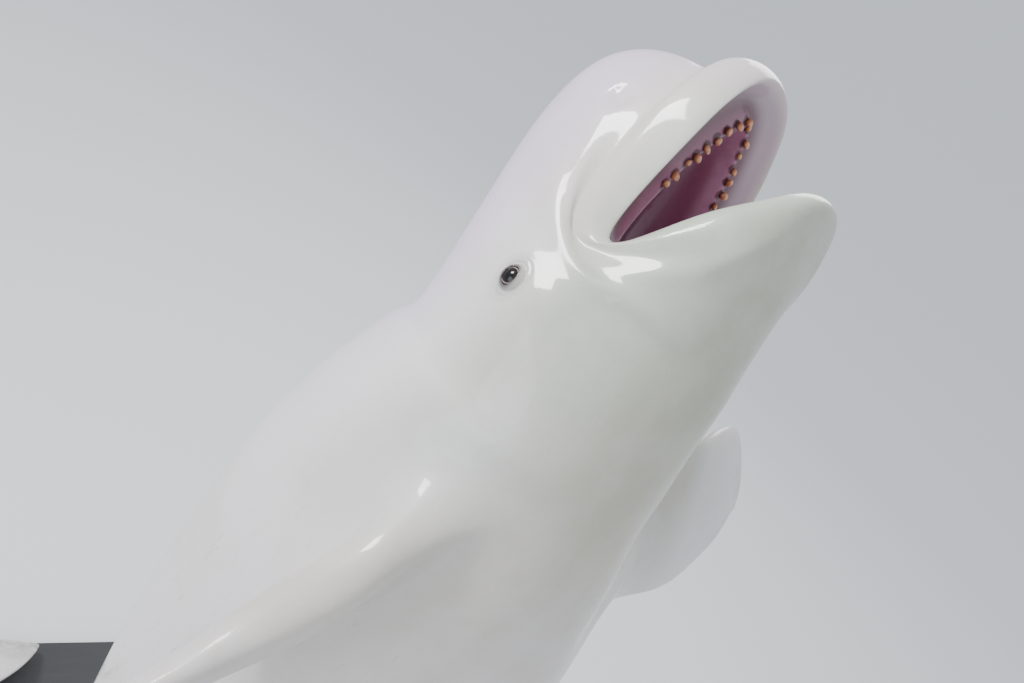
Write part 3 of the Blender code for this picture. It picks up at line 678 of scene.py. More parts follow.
@dataclass
class BlowholeForm:
    """The shut blowhole: a crescent slit across the crown, with its ends towards the tail.

    front is the middle of the slit. Only skin above the height crown can belong to it.
    """

    front: Point = (-0.095, 0.006, 0.212)
    crown: float = 0.12
    radius: float = 0.030
    half_turn: float = math.radians(62)
    swells: tuple[Swell, ...] = (
        Swell(-0.0110, 0.0000, 0.0020, 0.006),
        Swell(0.0022, 0.0065, 0.0040, 0.006),
        Swell(0.0034, -0.0090, 0.0070, 0.006),
        Swell(-0.0016, 0.0200, 0.0050, 0.012),
    )

    def spread(self, points: np.ndarray) -> tuple[np.ndarray, np.ndarray]:
        """Each point's distance outside the slit's line, and how far it is past the slit's ends."""
        across = points[:, 0] - (self.front[0] - self.radius)
        aside = points[:, 1] - self.front[1]
        turn = np.abs(np.arctan2(aside, across))
        far = np.hypot(across, aside) - self.radius
        past = np.maximum(turn - self.half_turn, 0) * self.radius
        return np.where(points[:, 2] > self.crown, far, FAR), past

    def sink(self, points: np.ndarray) -> np.ndarray:
        """Points with the slit sunk and its rims raised."""
        far, past = self.spread(points)
        moved = points.copy()
        for swell in self.swells:
            moved[:, 2] += swell.height * bell(far, swell.off, swell.width) * bell(past, 0, swell.fade)
        return moved


@dataclass(frozen=True)
class Fold:
    """A fold or swelling of the skin along a line: its points, half width, and height.

    steep says how fast it fades in from its ends, and least is what is left of it there.
    """

    path: tuple[Point, ...]
    width: float
    height: float
    steep: float = 5.0
    least: float = 0.15

    def lift(self, points: np.ndarray) -> np.ndarray:
        """How far each point rises."""
        nearest = np.full(len(points), FAR)
        fade = np.zeros(len(points))
        corners = np.array(self.path, float)
        stretch = np.linalg.norm(np.diff(corners, axis=0), axis=1)
        start = np.concatenate([[0], np.cumsum(stretch)])
        for i, (a, b) in enumerate(zip(corners, corners[1:])):
            share = np.clip((points - a) @ (b - a) / max(stretch[i] ** 2, 1e-9), 0, 1)
            far = np.linalg.norm(points - a - share[:, None] * (b - a), axis=1)
            along = (start[i] + share * stretch[i]) / start[-1]
            better = far < nearest
            nearest = np.where(better, far, nearest)
            shown = np.minimum(1, self.steep * np.minimum(along, 1 - along) + self.least)
            fade = np.where(better, shown, fade)
        return self.height * bell(nearest, 0, self.width) * fade


@dataclass(frozen=True)
class Region:
    """Where a round of refinement reaches. A point within any of its limits is in it.

    behind reaches back from the snout tip, for points no deeper in the mouth than inner. aside is
    out from the middle line. gum is a range of depths in the mouth. eye is in widths of the eye's
    opening, and slit is a distance from the blowhole's slit.
    """

    behind: float = -math.inf
    inner: float = math.inf
    aside: float = math.inf
    gum: tuple[float, float] = (0.0, 0.0)
    eye: float = 0.0
    slit: float = 0.0


@dataclass(frozen=True)
class Ridge:
    """The low ridge on the back: its height, width, and where it rises and falls behind the snout."""

    height: float = 0.012
    width: float = 0.028
    rise: tuple[float, float] = (1.45, 1.70)
    fall: tuple[float, float] = (2.20, 2.50)

    def lift(self, points: np.ndarray, behind: np.ndarray) -> np.ndarray:
        """How far each point rises."""
        along = smoothstep(behind, *self.rise) * (1 - smoothstep(behind, *self.fall))
        return self.height * along * bell(points[:, 1], 0, self.width) * (points[:, 2] > 0)


@dataclass
class Skin:
    """The whole skin in one piece, with the lining of the mouth.

    coarse and fine are levels of subdivision. shortest is the length under which an edge is not
    halved, pull is how far a new point may move to the smooth surface, and outer is the depth in the
    mouth at which the folded skin ends.
    """

    form: WhaleForm
    pose: Pose
    eye: EyeForm
    blowhole: BlowholeForm
    name: str = "skin"
    coarse: int = 2
    fine: int = 4
    shortest: float = 0.0009
    pull: float = 0.02
    outer: float = 9.5
    folds: tuple[Fold, ...] = ()
    ridge: Ridge = Ridge()
    regions: tuple[Region, ...] = (
        Region(behind=0.80, aside=0.36),
        Region(behind=0.36, inner=15, eye=5),
        Region(gum=(11.7, 12.4), eye=3.4, slit=0.020),
        Region(eye=2.4, slit=0.011),
        Region(eye=1.7, slit=0.006),
    )

    def smooth(self, levels: int) -> bpy.types.Mesh:
        """The cage smoothed by a number of subdivisions, with each point's depth in the mouth."""
        cage = self.form.cage()
        mesh = bpy.data.meshes.new("cage")
        mesh.from_pydata([tuple(p) for p in cage.fitted()], [], cage.faces)
        mesh.attributes.new("depth", "FLOAT", "POINT").data.foreach_set("value", cage.depths)
        holder = bpy.data.objects.new("cage", mesh)
        bpy.context.scene.collection.objects.link(holder)
        modifier = holder.modifiers.new("Subdivision", "SUBSURF")
        modifier.levels = levels
        modifier.render_levels = levels
        graph = bpy.context.evaluated_depsgraph_get()
        smooth = bpy.data.meshes.new_from_object(holder.evaluated_get(graph))
        bpy.data.objects.remove(holder)
        bpy.data.meshes.remove(mesh)
        return smooth

    def from_eye(self, points: np.ndarray) -> np.ndarray:
        """Each point's distance from the nearer eye, in widths of its opening."""
        return np.minimum(self.eye.spread(points, Side.LEFT), self.eye.spread(points, Side.RIGHT))

    def from_slit(self, points: np.ndarray) -> np.ndarray:
        """Each point's distance from the blowhole's slit."""
        return np.hypot(*self.blowhole.spread(points))

    def within(self, region: Region, points: np.ndarray, depth: np.ndarray) -> np.ndarray:
        """Which points lie in a region."""
        low, high = region.gum
        taken = (GAPE - points[:, 0] < region.behind) & (depth < region.inner)
        taken |= np.abs(points[:, 1]) > region.aside
        taken |= (depth > low) & (depth < high)
        taken |= self.from_eye(points) < region.eye
        return taken | (self.from_slit(points) < region.slit)

    def refine(self, shape: bmesh.types.BMesh, surface: BVHTree, region: Region) -> None:
        """Halves the faces of a region, and lays the new points on the smooth surface.

        Args:
            shape: The skin.
            surface: The finely smoothed skin.
            region: Which faces to halve.
        """
        shape.verts.ensure_lookup_table()
        known = len(shape.verts)
        points = np.array([tuple(vert.co) for vert in shape.verts])
        layer = shape.verts.layers.float["depth"]
        depth = np.array([vert[layer] for vert in shape.verts])
        near = self.within(region, points, depth)
        edges = {e for f in shape.faces if any(near[v.index] for v in f.verts) for e in f.edges}
        edges = [e for e in edges if e.calc_length() > self.shortest]
        bmesh.ops.subdivide_edges(shape, edges=edges, cuts=1, use_grid_fill=True)
        shape.verts.ensure_lookup_table()
        shape.verts.index_update()
        for i in range(known, len(shape.verts)):
            vert = shape.verts[i]
            place = surface.find_nearest(vert.co)[0]
            if place is not None and (place - vert.co).length < self.pull:
                vert.co = place

    def build(self) -> bpy.types.Object:
        """Makes the skin, folded and posed, with its attributes for the material."""
        fine = self.smooth(self.fine)
        shape = bmesh.new()
        shape.from_mesh(fine)
        surface = BVHTree.FromBMesh(shape)
        shape.free()
        bpy.data.meshes.remove(fine)
        coarse = self.smooth(self.coarse)
        shape = bmesh.new()
        shape.from_mesh(coarse)
        for region in self.regions:
            self.refine(shape, surface, region)
        bmesh.ops.triangulate(shape, faces=[f for f in shape.faces if len(f.verts) > 4])
        shape.to_mesh(coarse)
        shape.free()
        coarse.name = self.name
        count = len(coarse.vertices)
        rest = np.empty(count * 3, np.float32)
        coarse.vertices.foreach_get("co", rest)
        normals = np.empty(count * 3, np.float32)
        coarse.vertices.foreach_get("normal", normals)
        depth = np.empty(count, np.float32)
        coarse.attributes["depth"].data.foreach_get("value", depth)
        rest = rest.reshape(-1, 3).astype(float)
        shaped = self.shaped(rest, normals.reshape(-1, 3).astype(float), depth)
        self.keep(coarse, "rest", "FLOAT_VECTOR", rest)
        self.keep(coarse, "lid", "FLOAT", np.minimum(self.from_eye(rest), 20))
        self.keep(coarse, "slit", "FLOAT", np.minimum(self.from_slit(rest), 1))
        self.keep(coarse, "socket", "FLOAT", self.tooth_distance(rest))
        coarse.vertices.foreach_set("co", self.pose.apply(shaped).astype(np.float32).ravel())
        coarse.update()
        coarse.shade_smooth()
        holder = bpy.data.objects.new(self.name, coarse)
        bpy.context.scene.collection.objects.link(holder)
        return holder

    def keep(self, mesh: bpy.types.Mesh, name: str, kind: str, values: np.ndarray) -> None:
        """Stores one value for each point of a mesh."""
        layer = mesh.attributes.new(name, kind, "POINT")
        key = "vector" if kind == "FLOAT_VECTOR" else "value"
        layer.data.foreach_set(key, np.asarray(values, np.float32).ravel())

    def tooth_distance(self, points: np.ndarray) -> np.ndarray:
        """Each point's distance from the nearest tooth's root."""
        nearest = np.full(len(points), FAR)
        for row in TOOTH_ROWS:
            for root in self.form.gum_points(row.lower, row.pitch, row.count):
                for side in Side:
                    place = np.array((root.x, root.y * side.value, root.z))
                    nearest = np.minimum(nearest, np.linalg.norm(points - place, axis=1))
        return nearest

    def shaped(self, points: np.ndarray, normals: np.ndarray, depth: np.ndarray) -> np.ndarray:
        """The straight skin with its folds, lids and slits."""
        outer = depth < self.outer
        moved = points.copy()
        lift = self.ridge.lift(points, GAPE - points[:, 0])
        for fold in self.folds:
            lift += fold.lift(points)
        moved += normals * (lift * outer)[:, None]
        lids = self.eye.raise_lids(self.eye.raise_lids(moved, Side.LEFT), Side.RIGHT)
        moved = np.where(outer[:, None], lids, moved)
        return np.where(outer[:, None], self.blowhole.sink(moved), moved)


@dataclass(frozen=True)
class ToothRow:
    """A row of teeth on each side of one jaw."""

    name: str
    lower: bool
    count: int
    pitch: float = 0.0185


TOOTH_ROWS = (ToothRow("teeth_upper", False, 9), ToothRow("teeth_lower", True, 7))


@dataclass
class Teeth:
    """The short worn pegs of one jaw.

    The profile holds radii and heights from the root up. The ranges say how much the pegs vary: their
    lean, how flat, tall and wide they are, and how far they slip along the gum. Above the height
    crown they are worn aslant.
    """

    form: WhaleForm
    pose: Pose
    row: ToothRow
    profile: tuple[tuple[float, float], ...] = (
        (0.0036, -0.0080),
        (0.0046, -0.0020),
        (0.0052, 0.0020),
        (0.0051, 0.0050),
        (0.0040, 0.0075),
        (0.0022, 0.0088),
        (0.0008, 0.0086),
    )
    sides: int = 20
    lean: float = 0.30
    squeeze: tuple[float, float] = (0.70, 1.05)
    tall: tuple[float, float] = (0.55, 1.10)
    wide: tuple[float, float] = (0.80, 1.12)
    slip: float = 0.0022
    crown: float = 0.006
    worn: float = 0.12
    seeds: dict[bool, int] = field(default_factory=lambda: {True: 7, False: 11})

    def peg(self, rng: np.random.Generator) -> list[np.ndarray]:
        """One tooth's rings from the root up, each a little out of round and worn aslant."""
        lean = rng.uniform(-self.lean, self.lean, 2)
        squeeze = rng.uniform(*self.squeeze)
        tall = rng.uniform(*self.tall)
        wide = rng.uniform(*self.wide)
        phase = rng.uniform(0, 2 * math.pi)
        turns = np.linspace(0, 2 * math.pi, self.sides, endpoint=False)
        rings = []
        for radius, height in self.profile:
            wave = 1 + 0.05 * np.cos(2 * turns + phase) + 0.03 * np.cos(3 * turns + phase * 2)
            x = radius * wide * wave * np.cos(turns) + lean[0] * height
            y = radius * wide * wave * squeeze * np.sin(turns) + lean[1] * height
            z = np.full_like(x, height * (tall if height > 0 else 1))
            z += self.worn * x * (height > self.crown)
            rings.append(np.column_stack([x, y, z]))
        return rings

    def build(self) -> bpy.types.Object:
        """Makes the row on both sides of the jaw."""
        swing = self.form.jaw_open if self.row.lower else 0.0
        grown = Vector((0, 0, 1 if self.row.lower else -1))
        grown = Matrix.Rotation(swing, 3, "Y") @ grown
        aim = np.array(grown.to_track_quat("Z", "Y").to_matrix())
        rng = np.random.default_rng(self.seeds[self.row.lower])
        points: list[np.ndarray] = []
        faces: list[tuple[int, ...]] = []
        for root in self.form.gum_points(self.row.lower, self.row.pitch, self.row.count):
            for side in Side:
                start = sum(len(p) for p in points)
                rings = self.peg(rng)
                slip = rng.uniform(-self.slip, self.slip, 3)
                place = np.array((root.x, root.y * side.value, root.z)) + slip
                for ring in rings:
                    points.append(ring @ aim.T + place)
                for i in range(len(rings) - 1):
                    for k in range(self.sides):
                        n = (k + 1) % self.sides
                        low, high = start + i * self.sides, start + (i + 1) * self.sides
                        faces.append((low + k, low + n, high + n, high + k))
                top = start + (len(rings) - 1) * self.sides
                faces.append(tuple(range(top, top + self.sides)))
                faces.append(tuple(range(start, start + self.sides))[::-1])
        straight = np.concatenate(points)
        mesh = bpy.data.meshes.new(self.row.name)
        mesh.from_pydata(self.pose.apply(straight).tolist(), [], faces)
        tall = mesh.attributes.new("tall", "FLOAT", "POINT")
        one = np.repeat([height for _, height in self.profile], self.sides)
        heights = np.tile(one, len(points) // len(self.profile))
        tall.data.foreach_set("value", heights.astype(np.float32))
        mesh.shade_smooth()
        holder = bpy.data.objects.new(self.row.name, mesh)
        bpy.context.scene.collection.objects.link(holder)
        return holder


@dataclass
class Eyeball:
    """One eye: a dark ball with a clear bulge before the iris."""

    form: EyeForm
    pose: Pose
    side: Side
    bulge: float = 0.0011
    bulge_width: float = 0.42

    def build(self) -> bpy.types.Object:
        """Makes the ball in the head's pose."""
        bpy.ops.object.select_all(action="DESELECT")
        bpy.ops.mesh.primitive_uv_sphere_add(segments=64, ring_count=40, radius=self.form.radius)
        ball = bpy.context.object
        ball.name = "eye_left" if self.side is Side.LEFT else "eye_right"
        ball.name = ball.name + "_ball"
        mesh = ball.data
        points = np.empty(len(mesh.vertices) * 3, np.float32)
        mesh.vertices.foreach_get("co", points)
        points = points.reshape(-1, 3).astype(float)
        reach = np.hypot(points[:, 0], points[:, 1]) / self.form.radius
        points[:, 2] += self.bulge * bell(reach, 0, self.bulge_width) * (points[:, 2] > 0)
        layer = mesh.attributes.new("iris", "FLOAT_VECTOR", "POINT")
        layer.data.foreach_set("vector", (points / self.form.radius).astype(np.float32).ravel())
        place = np.array(self.form.place(self.side))
        straight = points @ place[:3, :3].T + place[:3, 3]
        mesh.vertices.foreach_set("co", self.pose.apply(straight).astype(np.float32).ravel())
        mesh.update()
        mesh.shade_smooth()
        return ball


@dataclass
class Tongue:
    """The tongue, low between the lower gums."""

    form: WhaleForm
    pose: Pose
    middle: Point = (0.080, 0.0, -0.026)
    radii: Point = (0.085, 0.040, 0.020)
    furrow: float = 0.16
    furrow_width: float = 0.20

    def build(self) -> bpy.types.Object:
        """Makes the tongue from a ball, with a furrow along its middle."""
        bpy.ops.object.select_all(action="DESELECT")
        bpy.ops.mesh.primitive_uv_sphere_add(segments=48, ring_count=32, radius=1)
        tongue = bpy.context.object
        tongue.name = "tongue_soft"
        mesh = tongue.data
        points = np.empty(len(mesh.vertices) * 3, np.float32)
        mesh.vertices.foreach_get("co", points)
        points = points.reshape(-1, 3).astype(float)
        points[:, 2] -= self.furrow * bell(points[:, 1], 0, self.furrow_width) * (points[:, 2] > 0)
        points = points * self.radii + self.middle
        swing = np.array(Matrix.Rotation(self.form.jaw_open, 3, "Y"))
        mesh.vertices.foreach_set("co", self.pose.apply(points @ swing.T).astype(np.float32).ravel())
        mesh.update()
        mesh.shade_smooth()
        return tongue


@dataclass
class Value:
    """A number that changes over a surface, worked on with Python's operators."""

    tree: "Nodes"
    socket: bpy.types.NodeSocket

    def __add__(self, other: "Value | float") -> "Value":
        return self.tree.math("ADD", self, other)

    __radd__ = __add__

    def __sub__(self, other: "Value | float") -> "Value":
        return self.tree.math("SUBTRACT", self, other)

    def __rsub__(self, other: float) -> "Value":
        return self.tree.math("SUBTRACT", other, self)

    def __mul__(self, other: "Value | float") -> "Value":
        return self.tree.math("MULTIPLY", self, other)

    __rmul__ = __mul__

    def rise(self, low: float, high: float) -> "Value":
        """Goes smoothly from 0 to 1 as the number goes from low to high, or back if low is higher."""
        if low > high:
            return 1 - self.rise(high, low)
        settings = {"interpolation_type": "SMOOTHSTEP"}
        inputs = {"Value": self, "From Min": low, "From Max": high}
        return self.tree.node("ShaderNodeMapRange", "Result", settings, inputs)

    def hump(self, middle: float, width: float) -> "Value":
        """1 at the middle, falling to 0 at a width on each side."""
        off = self.tree.math("ABSOLUTE", self - middle)
        return off.rise(width, 0)


@dataclass
class Nodes:
    """The nodes of one material."""

    material: bpy.types.Material

    @classmethod
    def new(cls, name: str) -> "Nodes":
        """Starts a material with a Principled shader."""
        material = bpy.data.materials.new(name)
        material.use_nodes = True
        return cls(material)

    @property
    def shader(self) -> bpy.types.Node:
        """The Principled shader."""
        return self.material.node_tree.nodes["Principled BSDF"]

    def node(self, kind: str, output: str | int, settings: dict, inputs: dict) -> Value:
        """Adds a node.

        Args:
            kind: The node's type.
            output: The socket that is returned.
            settings: The node's own settings, set first.
            inputs: Numbers, colours or links for its sockets.

        Returns:
            The output, wrapped.
        """
        node = self.material.node_tree.nodes.new(kind)
        for key, value in settings.items():
            setattr(node, key, value)
        for key, value in inputs.items():
            self.feed(node.inputs[key], value)
        return Value(self, node.outputs[output])

    def feed(self, socket: bpy.types.NodeSocket, value: object) -> None:
        """Links a wrapped value to a socket, or sets a plain one."""
        if isinstance(value, Value):
            self.material.node_tree.links.new(value.socket, socket)
        elif isinstance(value, tuple) and socket.type == "RGBA":
            socket.default_value = (*value, 1.0)
        else:
            socket.default_value = value

    def math(self, operation: str, first: Value | float, second: Value | float = 0.0) -> Value:
        """One Math node."""
        return self.node("ShaderNodeMath", 0, {"operation": operation}, {0: first, 1: second})

    def attribute(self, name: str, output: str = "Fac") -> Value:
        """A value stored on the mesh."""
        return self.node("ShaderNodeAttribute", output, {"attribute_name": name}, {})

    def parts(self, vector: Value) -> tuple[Value, Value, Value]:
        """The three numbers of a vector."""
        split = self.material.node_tree.nodes.new("ShaderNodeSeparateXYZ")
        self.feed(split.inputs[0], vector)
        return tuple(Value(self, socket) for socket in split.outputs)

    def stretched(self, vector: Value, scale: Point) -> Value:
        """A vector scaled along each axis."""
        return self.node("ShaderNodeVectorMath", 0, {"operation": "MULTIPLY"}, {0: vector, 1: scale})

    def mix(self, share: Value | float, first: Value | Colour, second: Value | Colour) -> Value:
        """The first colour going over to the second as the share goes from 0 to 1."""
        node = self.material.node_tree.nodes.new("ShaderNodeMix")
        node.data_type = "RGBA"
        self.feed(node.inputs["Factor"], share)
        self.feed(node.inputs[6], first)
        self.feed(node.inputs[7], second)
        return Value(self, node.outputs[2])

    def noise(self, vector: Value, scale: float, detail: float = 3, roughness: float = 0.5) -> Value:
        """Soft noise between 0 and 1."""
        inputs = {"Vector": vector, "Scale": scale, "Detail": detail, "Roughness": roughness}
        return self.node("ShaderNodeTexNoise", "Fac", {}, inputs)

    def cells(self, vector: Value, scale: float, feature: str = "DISTANCE_TO_EDGE") -> Value:
        """Cells, as the distance to their edges."""
        inputs = {"Vector": vector, "Scale": scale}
        return self.node("ShaderNodeTexVoronoi", "Distance", {"feature": feature}, inputs)

    def bump(self, height: Value, distance: float, strength: float = 1.0) -> None:
        """Raises the surface by a height of up to a distance in metres."""
        inputs = {"Height": height, "Distance": distance, "Strength": strength}
        normal = self.node("ShaderNodeBump", "Normal", {}, inputs)
        self.feed(self.shader.inputs["Normal"], normal)

    def set(self, **inputs: object) -> None:
        """Sets or links the shader's own sockets, by name with underscores for spaces."""
        for name, value in inputs.items():
            self.feed(self.shader.inputs[name.replace("_", " ")], value)


def seen(red: float, green: float, blue: float) -> Colour:
    """A colour as a screen shows it, from 0 to 1, as light."""
    return tuple(v / 12.92 if v <= 0.04045 else ((v + 0.055) / 1.055) ** 2.4 for v in (red, green, blue))


@dataclass(frozen=True)
class SkinFinish:
    """The skin's colours, from the wet white back to the throat, with painted light and shade on the head
    and in the mouth.
    """

    white: Colour = seen(0.91, 0.89, 0.90)
    # Painted lilac light, for the top of the head
    painted_lilac_light: Colour = seen(0.90, 0.83, 0.93)
    # Painted grey-green shade, for the cheeks and lower jaw
    painted_green_shade: Colour = seen(0.73, 0.76, 0.70)
    # Painted warm reflected light, for under the jaw and throat
    painted_warm_bounce: Colour = seen(0.70, 0.66, 0.55)
    cream: Colour = seen(0.86, 0.83, 0.76)
    edge: Colour = seen(0.50, 0.49, 0.46)
    lid: Colour = seen(0.22, 0.20, 0.21)
    inner_lip: Colour = seen(0.80, 0.73, 0.78)
    # Painted shade: the groove between the lips and the gums is darker
    vestibule: Colour = seen(0.50, 0.38, 0.42)
    gum: Colour = seen(0.68, 0.48, 0.58)
    palate: Colour = seen(0.50, 0.27, 0.38)
    throat: Colour = seen(0.46, 0.12, 0.30)
    # Painted shade, for the hollows around the teeth and the blowhole's slit
    socket: Colour = seen(0.26, 0.12, 0.12)
    blush: Colour = seen(0.86, 0.74, 0.82)

    def material(self) -> bpy.types.Material:
        """Makes the material."""
        nodes = Nodes.new("beluga_skin")
        rest = nodes.attribute("rest", "Vector")
        cloud = nodes.noise(rest, 3.5, 4)
        mottle = nodes.noise(rest, 16, 5, 0.6)
        colour = nodes.mix(cloud.rise(0.40, 0.72) * 0.65, self.white, self.cream)
        colour = self.head(nodes, rest, mottle, colour)
        colour = self.marks(nodes, rest, mottle, colour)
        colour = self.lining(nodes, rest, mottle, colour)
        self.relief(nodes, rest)
        inward = nodes.attribute("depth").rise(13.8, 15.2)
        nodes.set(
            Base_Color=colour,
            Roughness=0.34 + 0.14 * mottle - 0.12 * inward,
            Coat_Weight=0.35 + 0.45 * cloud.rise(0.35, 0.65),
        )
        nodes.set(Coat_Roughness=0.07, Subsurface_Weight=0.12, Subsurface_Scale=0.02)
        nodes.set(Subsurface_Radius=(1.0, 0.5, 0.4), IOR=1.42)
        return nodes.material

    def head(self, nodes: Nodes, rest: Value, mottle: Value, colour: Value) -> Value:
        """Painted lilac light on the melon, painted grey-green shade on the cheeks and lower jaw, painted
        warm reflected light under the jaw, and pink at the lips.
        """
        x, _, z = nodes.parts(rest)
        behind = GAPE - x
        head = behind.rise(0.75, 0.30)
        # Painted lilac light on the top of the head
        colour = nodes.mix(head * z.rise(0.05, 0.16) * 0.85, colour, self.painted_lilac_light)
        # Painted grey-green shade on the lower side of the head, broken up by the mottle
        cheek = head * z.rise(0.06, -0.05) * (0.75 + 0.25 * mottle.rise(0.35, 0.65))
        colour = nodes.mix(cheek, colour, self.painted_green_shade)
        # Painted warm reflected light under the jaw and throat
        under = behind.rise(0.02, 0.22) * behind.rise(1.00, 0.50) * z.rise(-0.10, -0.19)
        colour = nodes.mix(under * (0.25 + 0.20 * mottle.rise(0.30, 0.70)), colour, self.painted_warm_bounce)
        return nodes.mix(behind.rise(0.10, 0.0) * 0.45, colour, self.blush)

    def marks(self, nodes: Nodes, rest: Value, mottle: Value, colour: Value) -> Value:
        """Scars along the body, darker fins and flukes, the dark rims of the lids, and painted shade in the
        blowhole's slit.
        """
        x, y, _ = nodes.parts(rest)
        behind = GAPE - x
        aside = nodes.math("ABSOLUTE", y)
        lid = nodes.attribute("lid")
        scars = nodes.noise(nodes.stretched(rest, (4, 60, 60)), 1.0, 2)
        colour = nodes.mix(scars.hump(0.60, 0.006) * behind.rise(0.5, 0.9) * 0.35, colour, self.edge)
        fins = aside.rise(0.42, 0.62) * mottle.rise(0.30, 0.80) * 0.55
        colour = nodes.mix(fins, colour, self.edge)
        flukes = behind.rise(3.46, 3.69) * (0.30 + 0.60 * mottle.rise(0.35, 0.65))
        colour = nodes.mix(flukes, colour, self.edge)
        colour = nodes.mix(lid.rise(1.45, 1.02), colour, self.lid)
        colour = nodes.mix(lid.rise(3.2, 1.3) * 0.30, colour, self.edge)
        # Painted shade along the blowhole's slit
        return nodes.mix(nodes.attribute("slit").rise(0.0030, 0.0008), colour, self.socket)

    def lining(self, nodes: Nodes, rest: Value, mottle: Value, colour: Value) -> Value:
        """The inside of the mouth, with painted shade in the groove behind the lips and around each tooth.
        Its depths count the head's rings, from the lip's edge, 9, inward.
        """
        depth = nodes.attribute("depth")
        layers = (
            (9.3, 10.1, self.inner_lip),
            # Painted shade in the groove between lips and gums
            (10.2, 11.0, self.vestibule),
            (11.2, 12.0, self.gum),
            (12.8, 13.6, self.palate),
            (13.8, 15.2, self.throat),
        )
        for start, end, layer in layers:
            colour = nodes.mix(depth.rise(start, end), colour, layer)
        patch = mottle.rise(0.40, 0.62) * depth.rise(11.0, 12.5) * 0.40
        colour = nodes.mix(patch, colour, self.palate)
        # Painted shade in the hollows around each tooth
        painted_socket_shade = nodes.attribute("socket") + 0.004 * (nodes.noise(rest, 180, 3) - 0.5)
        return nodes.mix(painted_socket_shade.rise(0.0095, 0.0060) * 0.85, colour, self.socket)

    def relief(self, nodes: Nodes, rest: Value) -> None:
        """Fine grain all over, with creases and faint rings around the lids."""
        lid = nodes.attribute("lid")
        wrinkle = nodes.cells(nodes.stretched(rest, (1.0, 1.0, 1.6)), 260)
        fine = nodes.noise(rest, 900, 2)
        grain = nodes.noise(rest, 140, 3)
        creases = wrinkle.rise(0.16, 0.02) * lid.rise(4.5, 1.6)
        rings = nodes.math("SINE", lid * 7 + 22 * grain) * lid.rise(4.4, 1.3) * lid.rise(1.0, 1.3)
        nodes.bump(grain * 0.55 + fine * 0.12 - creases * 0.30 + rings * 0.05, 0.0010, 0.55)


@dataclass(frozen=True)
class EyeFinish:
    """A dark eye with a pale rim around its iris: partly a grey ring, partly a painted reflection."""

    pupil: Colour = seen(0.02, 0.02, 0.03)
    iris: Colour = seen(0.16, 0.12, 0.10)
    # Pale ring between iris and white: partly a grey ring, partly a painted reflection
    rim: Colour = seen(0.66, 0.58, 0.60)
    white: Colour = seen(0.10, 0.07, 0.08)

    def material(self) -> bpy.types.Material:
        """Makes the material."""
        nodes = Nodes.new("beluga_eye")
        place = nodes.attribute("iris", "Vector")
        x, y, _ = nodes.parts(place)
        reach = nodes.math("SQRT", x * x + y * y)
        streak = nodes.noise(nodes.stretched(place, (6, 6, 1)), 3, 4)
        iris = nodes.mix(streak, self.pupil, self.iris)
        colour = nodes.mix(reach.rise(0.24, 0.34), self.pupil, iris)
        colour = nodes.mix(reach.rise(0.50, 0.56), colour, self.white)
        # The pale ring: partly a grey ring, partly a painted reflection
        colour = nodes.mix(reach.hump(0.52, 0.055) * streak.rise(0.20, 0.55), colour, self.rim)
        nodes.set(Base_Color=colour, Roughness=0.10)
        nodes.set(Coat_Weight=0.3, Coat_Roughness=0.02, IOR=1.36)
        return nodes.material


@dataclass(frozen=True)
class ToothFinish:
    """Worn, stained teeth: pale orange tips on brown roots."""

    tip: Colour = seen(0.92, 0.70, 0.55)
    body: Colour = seen(0.74, 0.46, 0.30)
    root: Colour = seen(0.34, 0.17, 0.12)

    def material(self, name: str) -> bpy.types.Material:
        """Makes the material."""
        nodes = Nodes.new(name)
        tall = nodes.attribute("tall")
        place = nodes.node("ShaderNodeTexCoord", "Object", {}, {})
        mottle = nodes.noise(place, 420, 4)
        colour = nodes.mix(tall.rise(0.000, 0.004), self.root, self.body)
        colour = nodes.mix(tall.rise(0.0045, 0.0085) * mottle.rise(0.25, 0.60), colour, self.tip)
        nodes.bump(mottle, 0.0006, 0.5)
        nodes.set(Base_Color=colour, Roughness=0.20 + 0.2 * mottle)
        nodes.set(Coat_Weight=0.7, Coat_Roughness=0.05)
        return nodes.material


@dataclass(frozen=True)
class TongueFinish:
    """Wet mauve flesh."""

    pale: Colour = seen(0.66, 0.40, 0.48)
    deep: Colour = seen(0.48, 0.20, 0.32)

    def material(self) -> bpy.types.Material:
        """Makes the material."""
        nodes = Nodes.new("beluga_tongue")
        place = nodes.node("ShaderNodeTexCoord", "Object", {}, {})
        mottle = nodes.noise(place, 60, 5)
        buds = nodes.cells(place, 700, "F1")
        nodes.bump(buds * 0.4 + mottle, 0.0012, 0.5)
        nodes.set(Base_Color=nodes.mix(mottle, self.deep, self.pale), Roughness=0.30 + 0.2 * mottle)
        nodes.set(Coat_Weight=0.7, Coat_Roughness=0.06)
        return nodes.material


@dataclass(frozen=True)
class StandFinish:
    """Dark satin board or brushed steel."""

    name: str
    base: Colour
    second: Colour
    roughness: float
    metallic: float
    grain: Point
    scale: float

    def material(self) -> bpy.types.Material:
        """Makes the material."""
        nodes = Nodes.new(self.name)
        place = nodes.node("ShaderNodeTexCoord", "Object", {}, {})
        grain = nodes.noise(nodes.stretched(place, self.grain), self.scale, 4)
        nodes.bump(grain, 0.0004, 0.3)
        nodes.set(Base_Color=nodes.mix(grain, self.base, self.second))
        nodes.set(Roughness=self.roughness + 0.12 * grain, Metallic=self.metallic)
        return nodes.material


@dataclass(frozen=True)
class Lamp:
    """A soft square light."""

    name: str
    place: Point
    size: float
    power: float
    tint: Colour

    def add(self, aim: Point) -> None:
        """Adds the light, turned to a place."""
        light = bpy.data.lights.new(self.name, "AREA")
        light.shape = "SQUARE"
        light.size = self.size
        light.energy = self.power
        light.color = self.tint
        holder = bpy.data.objects.new(self.name, light)
        bpy.context.scene.collection.objects.link(holder)
        holder.location = self.place
        holder.rotation_euler = (Vector(self.place) - Vector(aim)).to_track_quat("Z", "Y").to_euler()


